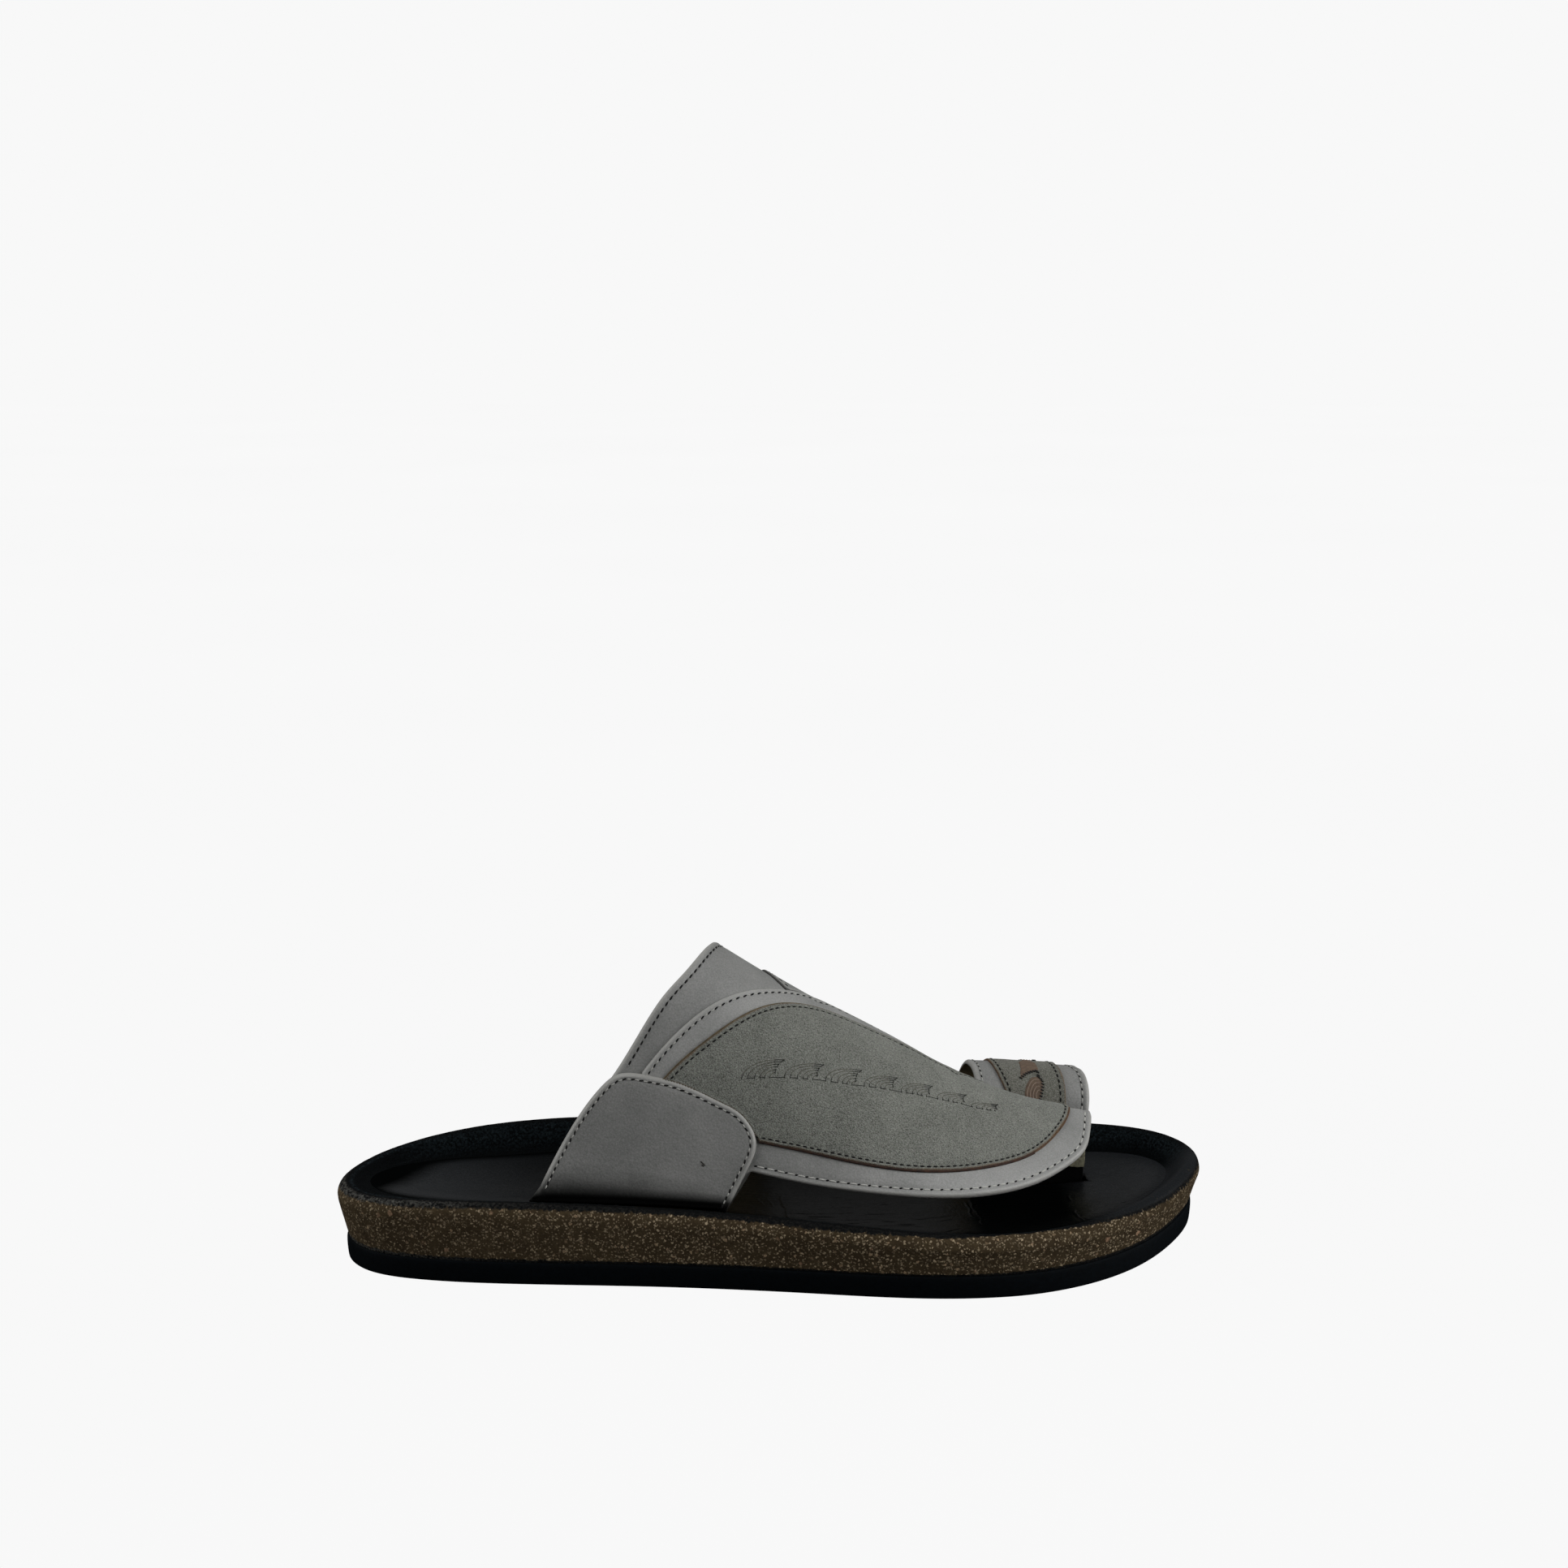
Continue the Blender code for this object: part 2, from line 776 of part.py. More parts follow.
def pattern_lattice():
    """Interior points shared by all layers of the upper, on staggered rows."""
    points = []
    row_count = round((MEDIAL_GIRTH + LATERAL_GIRTH) / LATTICE) + 1
    for row in range(row_count):
        girth = -LATERAL_GIRTH + row * LATTICE
        stagger = LATTICE / 2 * (row % 2)
        for column in range(round(LENGTH / LATTICE)):
            along = LATTICE_START + column * LATTICE + stagger
            if along < LOOP_REGION or girth < 0:
                points.append((along, girth))
    for line in range(math.floor(LOOP_STEP_TOTAL)):
        for column in range(round((LENGTH - LOOP_REGION) / LATTICE)):
            points.append((LOOP_REGION + column * LATTICE, line * LOOP_LINE))
    return points


PATTERN_LATTICE = pattern_lattice()


def layer(outline, base, top):
    """Closed solid of one layer of the upper between two distances from the foot side."""
    return sheet_mesh([outline], PATTERN_LATTICE, MARGIN, on_last(base), on_last(top))


def upper_outline():
    medial_seat = medial_span(STRAP_SEAT)
    collar = smooth_run(
        [(STRAP_SEAT[0], seat_girth(STRAP_SEAT[0], WALL, -1)), *COLLAR_EDGE]
        + mirrored(reversed(COLLAR_EDGE[:-1]))
        + [(medial_seat[0], seat_girth(medial_seat[0], WALL, 1))],
        EDGE_SPACING,
    )
    medial = smooth_run([(medial_seat[1], seat_girth(medial_seat[1], WALL, 1)), *MEDIAL_FRONT], EDGE_SPACING)
    leaf = smooth_run(LEAF_BACK, EDGE_SPACING)
    ridge = [p for p in leaf if p[0] > MEDIAL_FRONT[-1][0] + JOIN]
    loop_end = seat_girth(LOOP_SEAT[0], WALL, 1)
    loop_start = seat_girth(LOOP_SEAT[1], WALL, 1)
    return joined(
        seat_run(reversed(STRAP_SEAT), WALL, -1),
        collar,
        seat_run(medial_seat, WALL, 1),
        medial,
        ridge,
        across_lines(LOOP_BACK, LEAF_BACK[-1][1], loop_end),
        seat_run(LOOP_SEAT, WALL, 1),
        across_lines(LOOP_FRONT, loop_start, LEAF_LOWER[0][1]),
        smooth_run(LEAF_LOWER, EDGE_SPACING),
    )


def leaf_outline():
    post_count = round((LEAF_POST_RUN[1] - LEAF_POST_RUN[0]) / LATTICE)
    post = [(along, LEAF_POST_EDGE) for along in np.linspace(*LEAF_POST_RUN, post_count + 1)]
    return joined(
        seat_run(reversed(LEAF_SEAT), LEAF_TOP, -1),
        LEAF_UNDER_TAB,
        smooth_run(LEAF_BACK, EDGE_SPACING),
        across_lines(LOOP_BACK, LEAF_BACK[-1][1], LEAF_POST_EDGE),
        post,
        across_lines(LOOP_FRONT, LEAF_POST_EDGE, LEAF_LOWER[0][1]),
        smooth_run(LEAF_LOWER, EDGE_SPACING),
    )


def tab_run():
    return smooth_run(TAB_EDGE, TAB_SPACING)


def tab_outline(side):
    run = tab_run()
    span = TAB_SEAT
    if side > 0:
        run = mirrored(run)
        span = medial_span(span)
    seat = seat_run(reversed(span), TAB_TOP, side)
    lowest = min(abs(girth) for _, girth in seat) - JOIN
    return joined(seat, [p for p in run if abs(p[1]) < lowest])


def nubuck_outline():
    """The panel stops short of the tab, whose edge it follows."""
    free = smooth_run(NUBUCK_BACK, EDGE_SPACING)
    first = NUBUCK_BACK[0][0] + LINE_JOIN
    lowest = NUBUCK_BACK[-1][1] + LINE_JOIN
    beside = [p for p in shifted(tab_run(), GAP * 2) if p[1] > lowest and p[0] > first]
    return joined(free, reversed(beside))


def wing_outline():
    leaf = smooth_run(LEAF_BACK, EDGE_SPACING)
    beside = [p for p in shifted(leaf, GAP * 2) if WING_BESIDE_LEAF[0] < p[0] < WING_BESIDE_LEAF[1]]
    seat = medial_span(LEAF_SEAT)
    front = smooth_run([(seat[1], seat_girth(seat[1], LEAF_TOP, 1)), *MEDIAL_FRONT[:-1]], EDGE_SPACING)
    return joined(
        seat_run(seat, LEAF_TOP, 1),
        front,
        reversed(beside),
        reversed(smooth_run(WING_BACK, EDGE_SPACING)),
        mirrored(reversed(LEAF_UNDER_TAB)),
    )


def strip_outline():
    start = STRIP_BACK[0][0]
    end = STRIP_BACK[-1][0]
    return joined(across_lines(STRIP_BACK, start, end), across_lines(STRIP_FRONT, end, start))


def plan_lattice(spacing, least_inset):
    """Staggered plan points at least an inset behind the rim."""
    points = []
    rows = round(np.abs(FINE_RIM[:, 1]).max() / spacing)
    for row in range(-rows, rows + 1):
        for column in range(round(LENGTH / spacing) + 1):
            point = ((column + 0.5 * (row % 2)) * spacing, row * spacing)
            if inside(point, FINE_RIM) and inset_from_rim(*point)[0] > least_inset:
                points.append(point)
    return points


# Sampling of the sole's wide faces.
SOLE_LATTICE = 20.0
SOLE_LATTICE_INSET = 14.0
FLOOR_INSETS = (18.0, 24.0, 30.0)
FLOOR_LATTICE = 12.0
FLOOR_LATTICE_INSET = 35.0
FLOOR_SPACING = 4.0
TRUE_INSET = 0.95
STEP_RUN = 0.1


def floor_lattice():
    """Plan points that carry the dished floor of the cup."""
    points = []
    for inset in FLOOR_INSETS:
        for point in inset_ring(np.full(len(RIM), inset)):
            true_inset = inset_from_rim(*point)[0]
            crowded = any(math.dist(point, other) < FLOOR_SPACING for other in points)
            if true_inset > inset * TRUE_INSET and not crowded:
                points.append(tuple(point))
    return points + plan_lattice(FLOOR_LATTICE, FLOOR_LATTICE_INSET)


def ring_at(inset, up):
    plan = inset_ring(inset)
    return [(p[0], p[1], z) for p, z in zip(plan, up)]


def midsole_mesh():
    lean = flare()
    rim = np.array([rim_up(*p) for p in RIM])
    foot = np.array([spring_up(p[0]) for p in RIM]) + OUTSOLE_THICK + GAP
    rings = []
    for flare_share, height_share, inset, drop in MIDSOLE_RINGS:
        rings.append(ring_at(lean * flare_share + inset, foot + (rim - foot) * height_share - drop))
    for inset in WALL_RINGS:
        plan = inset_ring(np.full(len(RIM), inset))
        rings.append([(x, y, wall_up(x, y)) for x, y in plan])
    step = inset_ring(np.full(len(RIM), WALL_RINGS[-1] + STEP_RUN))
    rings.append([(x, y, cork_up(x, y)) for x, y in step])
    lattice = plan_lattice(SOLE_LATTICE, SOLE_LATTICE_INSET)
    lower = (lattice, lambda x, y: spring_up(x) + OUTSOLE_THICK + GAP)
    return stack_mesh(rings, lower, (floor_lattice(), cork_up))


def outsole_mesh():
    lean = flare()
    rounding = 1 + (END_ROUNDING - 1) * RIM_OUT[:, 0] ** 2
    spring = np.array([spring_up(p[0]) for p in RIM])
    rings = [ring_at(lean + inset * rounding, spring + up) for inset, up in OUTSOLE_RINGS]
    lattice = plan_lattice(SOLE_LATTICE, SOLE_LATTICE_INSET)
    return stack_mesh(
        rings,
        (lattice, lambda x, y: spring_up(x)),
        (lattice, lambda x, y: spring_up(x) + OUTSOLE_THICK),
    )


def post_slot():
    """Slot in the insole for the fold of the toe post."""
    start = LOOP_BACK[1][1] - SLOT_ROOM
    end = LOOP_FRONT[1][1] + SLOT_ROOM
    near = POST_ACROSS - POST_FOLD - SLOT_CLEAR
    far = POST_ACROSS + POST_FOLD + SLOT_CLEAR
    places = np.linspace(start, end, round((end - start) / LATTICE) + 1)
    return [(s, near) for s in places] + [(s, far) for s in reversed(places)]


def insole_mesh():
    return sheet_mesh(
        [inset_ring(np.full(len(RIM), INSOLE_EDGE)), post_slot()],
        floor_lattice(),
        MARGIN,
        lambda x, y: place(x, y, cork_up(x, y) + GAP),
        lambda x, y: place(x, y, insole_up(x, y)),
    )


def main():
    for item in list(bpy.data.objects):
        bpy.data.objects.remove(item, do_unlink=True)
    rubber = make_material("black_rubber", (0.010, 0.011, 0.012), 0.55)
    cork = make_material("brown_cork", (0.060, 0.043, 0.028), 0.85)
    lining = make_material("black_leather", (0.008, 0.009, 0.010), 0.40)
    leather = make_material("grey_leather", (0.140, 0.140, 0.135), 0.50)
    nubuck = make_material("grey_green_nubuck", (0.125, 0.130, 0.115), 0.85)
    make_object("outsole", outsole_mesh(), rubber)
    make_object("midsole", midsole_mesh(), cork)
    make_object("insole", insole_mesh(), lining)
    make_object("upper", layer(upper_outline(), 0.0, WALL), leather)
    make_object("vamp_leaf", layer(leaf_outline(), LEAF_BASE, LEAF_TOP), leather)
    make_object("medial_wing", layer(wing_outline(), LEAF_BASE, LEAF_TOP), leather)
    make_object("nubuck_panel", layer(nubuck_outline(), NUBUCK_BASE, NUBUCK_TOP), nubuck)
    make_object("toe_loop_panel", layer(strip_outline(), LEAF_BASE, LEAF_BASE + STRIP_THICK), nubuck)
    make_object("lateral_tab", layer(tab_outline(-1), NUBUCK_BASE, TAB_TOP), leather)
    make_object("medial_tab", layer(tab_outline(1), NUBUCK_BASE, TAB_TOP), leather)


if __name__ == "__main__":
    main()
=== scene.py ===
"""Looks of the sandal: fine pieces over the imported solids, their finishes, studio light and camera.

Sizes are in millimetres. Along runs from the back of the heel to the toe, across is positive on the
medial side, where the big toe is, and up is measured from the floor. On the upper, girth is measured
around the foot from the crest: negative on the lateral side, positive on the medial side.
"""

import math

import bmesh
import bpy
import numpy as np
from mathutils import Matrix, Vector, noise
from mathutils.geometry import delaunay_2d_cdt


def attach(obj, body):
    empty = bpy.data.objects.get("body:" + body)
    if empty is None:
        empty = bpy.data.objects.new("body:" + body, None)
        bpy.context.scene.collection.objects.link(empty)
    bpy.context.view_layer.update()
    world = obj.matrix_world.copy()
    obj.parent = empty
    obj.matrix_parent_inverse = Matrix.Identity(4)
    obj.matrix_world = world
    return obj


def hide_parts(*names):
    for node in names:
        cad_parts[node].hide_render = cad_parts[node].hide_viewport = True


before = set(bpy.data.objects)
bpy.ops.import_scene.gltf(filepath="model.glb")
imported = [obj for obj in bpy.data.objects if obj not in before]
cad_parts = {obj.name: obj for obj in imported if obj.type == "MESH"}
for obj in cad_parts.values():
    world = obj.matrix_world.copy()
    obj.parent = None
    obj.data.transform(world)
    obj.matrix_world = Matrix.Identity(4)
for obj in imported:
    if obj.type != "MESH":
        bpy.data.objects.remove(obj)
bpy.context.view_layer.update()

MM = 0.001
LENGTH = 286.0
GAP = 0.3

# Sole
HEEL_BACK = (1.8, 0.0)
TOE_TIP = (LENGTH, 3.0)
SOLE_WIDTHS = (
    # along, lateral, medial
    (10.0, 19.6, 18.8),
    (30.0, 29.8, 30.6),
    (60.0, 35.3, 35.4),
    (100.0, 39.6, 37.5),
    (150.0, 47.8, 40.3),
    (200.0, 55.4, 46.8),
    (235.0, 50.4, 45.9),
    (262.0, 36.4, 39.4),
    (277.0, 19.4, 29.2),
)
RIM_HEIGHTS = (
    # along, lateral, medial
    (0.0, 25.0, 25.0),
    (50.0, 27.0, 32.5),
    (110.0, 25.6, 33.2),
    (170.0, 22.6, 29.0),
    (230.0, 20.6, 26.8),
    (286.0, 28.0, 28.0),
)
FOOT_FLOOR = (
    # along, up
    (0.0, 23.2),
    (60.0, 21.8),
    (120.0, 20.8),
    (190.0, 16.5),
    (240.0, 16.8),
    (286.0, 21.0),
)
RIM_BLEND = 22.0
OUTSOLE_THICK = 7.4
TOE_SPRING = 6.6
SPRING_START = 215.0
SIDE_FLARE = 2.0
END_FLARE = 3.0
WALL_TOP = 3.2
WALL_FOOT = 11.0
FLOOR_DISH = 1.6
DISH_RUN = 30.0
ARCH_RISE = 4.0
ARCH_ALONG = 118.0
ARCH_SPREAD = 30.0
ARCH_ACROSS = (2.0, 26.0)
INSOLE_THICK = 2.2
INSOLE_EDGE = 10.7
OUTSOLE_RINGS = (
    # inset, up
    (1.0, 0.0),
    (0.4, 0.15),
    (0.05, 0.8),
    (-0.2, 3.6),
    (-0.2, 6.8),
    (0.4, OUTSOLE_THICK),
)
END_ROUNDING = 1.2
MIDSOLE_RINGS = (
    # flare share, height share, inset, drop
    (1.0, 0.0, 0.5, 0.0),
    (1.0, 0.05, 0.0, 0.0),
    (0.3, 0.5, 0.0, 0.0),
    (0.0, 1.0, 0.0, 4.2),
    (0.0, 1.0, 0.5, 1.9),
    (0.0, 1.0, 1.6, 0.5),
    (0.0, 1.0, 3.2, 0.0),
)

# Upper
LAST_SECTIONS = (
    # along, lateral, medial, crest across, crest up, level, fullness
    (55.0, 22.1, 22.3, 2.0, 147.0, 14.0, 2.0),
    (95.0, 26.8, 24.8, 2.0, 120.0, 14.0, 2.0),
    (125.0, 31.6, 26.2, 2.5, 100.5, 14.0, 2.0),
    (157.0, 40.2, 31.0, 2.5, 80.5, 13.0, 1.9),
    (187.0, 45.0, 36.0, 1.0, 64.5, 12.0, 1.65),
    (205.0, 43.0, 38.0, 0.0, 53.7, 12.0, 1.55),
    (225.0, 36.0, 38.0, 0.0, 45.3, 12.0, 1.5),
    (250.0, 24.0, 35.0, 0.0, 40.3, 12.0, 1.5),
)
LATERAL_GIRTH = 80.0
MEDIAL_GIRTH = 110.0
MIRROR = -MEDIAL_GIRTH / LATERAL_GIRTH
LOOP_BLEND = (180.0, 202.0)
LOOP_REGION = 200.0
POST_ACROSS = 10.3
POST_FOLD = 3.3
VAMP_SHOULDER = 5.5
LOOP_ROUNDING = 0.46
LOOP_CREST_BACK = (211.0, 52.0)
LOOP_CREST_SLOPE = -0.06
LOOP_SEAT_INSET = 8.6
LOOP_STEPS = (1, 4, 2, 4, 0.01, 4, 3, 5, 1, 5, 3)
LOOP_STEP_TOTAL = sum(LOOP_STEPS)
LOOP_LINE = MEDIAL_GIRTH / LOOP_STEP_TOTAL
FOLD_ROUNDING = 0.998
WALL = 1.5
LEAF_TOP = 2.7
NUBUCK_TOP = 3.7
STRIP_TOP = 2.3
TAB_TOP = 4.6

TAB_EDGE = (
    # along, girth
    (66.8, -75.3),
    (75.5, -67.4),
    (88.2, -57.2),
    (93.2, -54.3),
    (103.4, -52.5),
    (112.0, -51.9),
    (127.6, -52.8),
    (133.5, -53.9),
    (137.5, -57.6),
    (134.9, -64.9),
    (129.4, -72.5),
)
COLLAR_EDGE = (
    # along, girth
    (76.2, -67.4),
    (92.5, -54.3),
    (108.3, -34.7),
    (115.0, -25.1),
    (120.2, -13.8),
    (123.9, 0.0),
)
LEAF_UNDER_TAB = (
    # along, girth
    (79.3, -67.5),
    (91.3, -58.3),
    (97.6, -55.4),
)
LEAF_BACK = (
    # along, girth
    (101.4, -52.3),
    (115.0, -39.2),
    (129.0, -25.0),
    (140.8, -13.3),
    (147.9, -6.3),
    (156.0, 1.0),
    (166.0, 7.5),
    (178.0, 10.8),
    (191.0, 12.0),
    (203.0, 14.0),
)
LEAF_LOWER = (
    # along, girth
    (248.8, -2.2),
    (247.0, -18.0),
    (243.5, -32.2),
    (237.3, -41.5),
    (226.8, -51.0),
    (209.1, -58.2),
    (192.1, -61.7),
    (172.1, -63.8),
    (154.0, -65.0),
    (135.7, -65.5),
)
WING_BACK = (
    # along, girth
    (114.4, 71.9),
    (125.0, 56.0),
    (135.0, 36.0),
    (139.5, 16.0),
    (140.9, 3.6),
    (147.0, -5.6),
)
MEDIAL_FRONT = (
    # along, girth
    (144.0, 92.0),
    (149.0, 72.0),
    (156.0, 48.0),
    (162.0, 30.0),
    (169.0, 17.0),
    (178.0, 10.8),
)
NUBUCK_BACK = (
    # along, girth
    (107.6, -53.0),
    (110.1, -50.8),
    (122.7, -40.0),
    (135.2, -27.5),
    (148.2, -15.1),
    (159.8, -8.0),
    (173.4, -5.0),
    (190.0, -2.4),
    (200.0, 0.2),
    (206.0, 4.5),
    (213.0, 8.6),
    (223.0, 10.0),
    (233.0, 10.0),
    (239.6, 7.5),
    (240.6, -2.5),
    (235.0, -20.0),
    (225.8, -34.6),
    (209.1, -46.0),
    (189.9, -53.2),
    (171.9, -55.8),
    (154.0, -56.9),
    (138.6, -58.2),
)
LOOP_BACK = (
    # girth, along
    (14.0, 203.0),
    (24.0, 211.0),
    (38.0, 214.0),
    (68.8, 212.9),
    (78.2, 212.0),
    (90.0, 210.3),
    (110.0, 205.0),
)
LOOP_FRONT = (
    # girth, along
    (-2.2, 248.8),
    (12.0, 249.0),
    (38.0, 247.0),
    (64.0, 250.6),
    (76.0, 250.2),
    (84.0, 248.2),
    (95.0, 245.0),
    (110.0, 240.5),
)
STRIP_BACK = (
    # girth, along
    (55.0, 221.8),
    (66.9, 222.7),
    (71.5, 221.0),
    (79.0, 218.8),
    (86.0, 218.0),
    (95.0, 215.2),
    (104.0, 211.5),
)
STRIP_FRONT = (
    # girth, along
    (55.0, 242.4),
    (63.5, 242.5),
    (70.5, 242.5),
    (79.0, 241.2),
    (86.0, 240.2),
    (95.0, 237.4),
    (104.0, 233.5),
)
LEAF_POST_EDGE = 6 * LOOP_LINE
LEAF_POST_RUN = (212.0, 246.5)
WING_BESIDE_LEAF = (148.5, 172.0)
STRAP_SEAT = (66.8, 127.5)
TAB_SEAT = (65.2, 128.0)
LEAF_SEAT = (68.6, 126.0)
LOOP_SEAT = (205.0, 240.5)
SEAT_GUESS = 0.95
SEAT_CLEAR = 0.4
MEDIAL_LEAD = 13.0
LEAD_RUN = 40.0

# Sampling of the pieces
RIM_SPACING = 1.3
FINE_SPACING = 0.8
EDGE_SPACING = 0.9
JOIN = 0.3
LATTICE = 2.6
CHUNK = 800
DERIVATIVE = 0.4


def curve_through(stations, values):
    """Natural cubic curve through the values, straight beyond both ends, for one place or many."""
    x = np.asarray(stations, float)
    y = np.asarray(values, float)
    step = np.diff(x)
    slope = np.diff(y) / step
    count = len(x)
    matrix = np.eye(count)
    right = np.zeros(count)
    for i in range(1, count - 1):
        matrix[i, i - 1:i + 2] = (step[i - 1], 2 * (step[i - 1] + step[i]), step[i])
        right[i] = 6 * (slope[i] - slope[i - 1])
    bend = np.linalg.solve(matrix, right)
    first_slope = slope[0] - step[0] * bend[1] / 6
    last_slope = slope[-1] + step[-1] * bend[-2] / 6

    def at(station):
        """Values of the curve."""
        s = np.asarray(station, float)
        i = np.clip(np.searchsorted(x, s) - 1, 0, count - 2)
        a = (x[i + 1] - s) / step[i]
        b = (s - x[i]) / step[i]
        bow = (a ** 3 - a) * bend[i] + (b ** 3 - b) * bend[i + 1]
        value = a * y[i] + b * y[i + 1] + bow * step[i] ** 2 / 6
        value = np.where(s < x[0], y[0] + (s - x[0]) * first_slope, value)
        return np.where(s > x[-1], y[-1] + (s - x[-1]) * last_slope, value)

    return at


def column_curves(table):
    """One curve for each column of a table whose first column is the place along."""
    columns = list(zip(*table))
    return [curve_through(columns[0], column) for column in columns[1:]]


def chord_curves(points):
    """Curves of both coordinates over the chord length of plane points."""
    points = np.asarray(points, float)
    chord = np.concatenate(([0.0], np.cumsum(np.linalg.norm(np.diff(points, axis=0), axis=1))))
    return [curve_through(chord, points[:, k]) for k in range(2)], chord


def smooth_run(points, spacing=EDGE_SPACING):
    """Points about one spacing apart on a smooth curve through the given plane points."""
    curves, chord = chord_curves(list(points))
    places = np.linspace(0, chord[-1], max(1, round(chord[-1] / spacing)) + 1)
    return np.stack([curve(places) for curve in curves], axis=1)


def smoothstep(low, high, value):
    """Soft step from zero to one between two values."""
    t = np.clip((np.asarray(value, float) - low) / (high - low), 0.0, 1.0)
    return t * t * (3 - 2 * t)


def bump_at(value, centre, width):
    """Soft bump of height one around a centre."""
    return np.exp(-((value - centre) / width) ** 2)


def sole_outline(spacing):
    """Closed plan outline of the sole at its rim, from the heel round the lateral side."""
    lateral = [(along, -half) for along, half, _ in SOLE_WIDTHS]
    medial = [(along, half) for along, _, half in reversed(SOLE_WIDTHS)]
    loop = [HEEL_BACK, *lateral, TOE_TIP, *medial]
    wrap = 3
    curves, chord = chord_curves(loop[-wrap:] + loop + loop[:wrap + 1])
    start = chord[wrap]
    end = chord[wrap + len(loop)]
    count = round((end - start) / spacing)
    places = start + (end - start) * np.arange(count) / count
    return np.stack([curve(places) for curve in curves], axis=1)


def outward(ring):
    """Plan directions pointing out of a closed ring."""
    tangent = np.roll(ring, -1, axis=0) - np.roll(ring, 1, axis=0)
    normal = np.stack((tangent[:, 1], -tangent[:, 0]), axis=1)
    normal /= np.linalg.norm(normal, axis=1)[:, None]
    return normal * np.sign(np.sum(normal * (ring - ring.mean(axis=0))))


RIM = sole_outline(RIM_SPACING)
RIM_OUT = outward(RIM)
FINE_RIM = sole_outline(FINE_SPACING)
FINE_OUT = outward(FINE_RIM)
CENTRE = np.append((sole_outline(1.5).min(axis=0) + sole_outline(1.5).max(axis=0)) / 2, 0.0)
rim_lateral, rim_medial = column_curves(RIM_HEIGHTS)
(floor_up,) = column_curves(FOOT_FLOOR)
lateral_half, medial_half, crest_across, crest_up, last_level, fullness = column_curves(LAST_SECTIONS)
medial_outline = column_curves([(0.0, 0.0, 0.0), *SOLE_WIDTHS])[1]


def placed(points):
    """Points of the part's frame, in metres."""
    return (np.asarray(points, float) - CENTRE) * MM


def rim_up(plan):
    """Height of the footbed's rim, blended from its lateral to its medial line."""
    share = smoothstep(-RIM_BLEND, RIM_BLEND, plan[:, 1])
    return rim_lateral(plan[:, 0]) * (1 - share) + rim_medial(plan[:, 0]) * share


def spring_up(along):
    """Height of the sole's underside where the toe springs up."""
    t = np.maximum(0.0, (along - SPRING_START) / (LENGTH - SPRING_START))
    return TOE_SPRING * t * t


def in_chunks(points, work):
    """Results of some work on many points, done a part at a time to spare memory."""
    starts = range(0, max(1, len(points)), CHUNK)
    return np.concatenate([work(points[start:start + CHUNK]) for start in starts])


def gaps_between(points, others):
    """Distances from every point to every one of the others."""
    return np.linalg.norm(points[:, None, :] - others[None], axis=2)


def inset_from_rim(plan):
    """Distance behind the rim outline, and the rim point that is nearest, for plan points."""
    near = in_chunks(plan, lambda some: gaps_between(some, FINE_RIM).argmin(axis=1))
    return np.sum((FINE_RIM[near] - plan) * FINE_OUT[near], axis=1), FINE_RIM[near]


def foot_up(plan, inset):
    """Height of the insole's upper face: a dished floor with a rise under the medial arch."""
    dish = FLOOR_DISH * (1 - smoothstep(WALL_FOOT, DISH_RUN, inset))
    spread = (plan[:, 0] - ARCH_ALONG) / ARCH_SPREAD
    arch = ARCH_RISE * np.exp(-spread * spread / 2) * smoothstep(*ARCH_ACROSS, plan[:, 1])
    return floor_up(plan[:, 0]) + dish + arch


def wall_up(plan):
    """Height of the midsole's inner wall, from the rim down to the edge of the insole."""
    inset, rim = inset_from_rim(plan)
    foot = foot_up(plan, inset)
    return foot + (rim_up(rim) - foot) * (1 - smoothstep(WALL_TOP, WALL_FOOT, inset))


def cork_up(plan):
    """Height of the midsole's floor, one insole below the foot."""
    return foot_up(plan, inset_from_rim(plan)[0]) - INSOLE_THICK - GAP


def loop_crest_up(along):
    """Height of the toe loop's crest."""
    return LOOP_CREST_BACK[1] + LOOP_CREST_SLOPE * (along - LOOP_CREST_BACK[0])


def loop_shoulder(along):
    """Radius of both shoulders of the toe loop, a share of its width."""
    return LOOP_ROUNDING * (medial_outline(along) - LOOP_SEAT_INSET - POST_ACROSS - POST_FOLD)


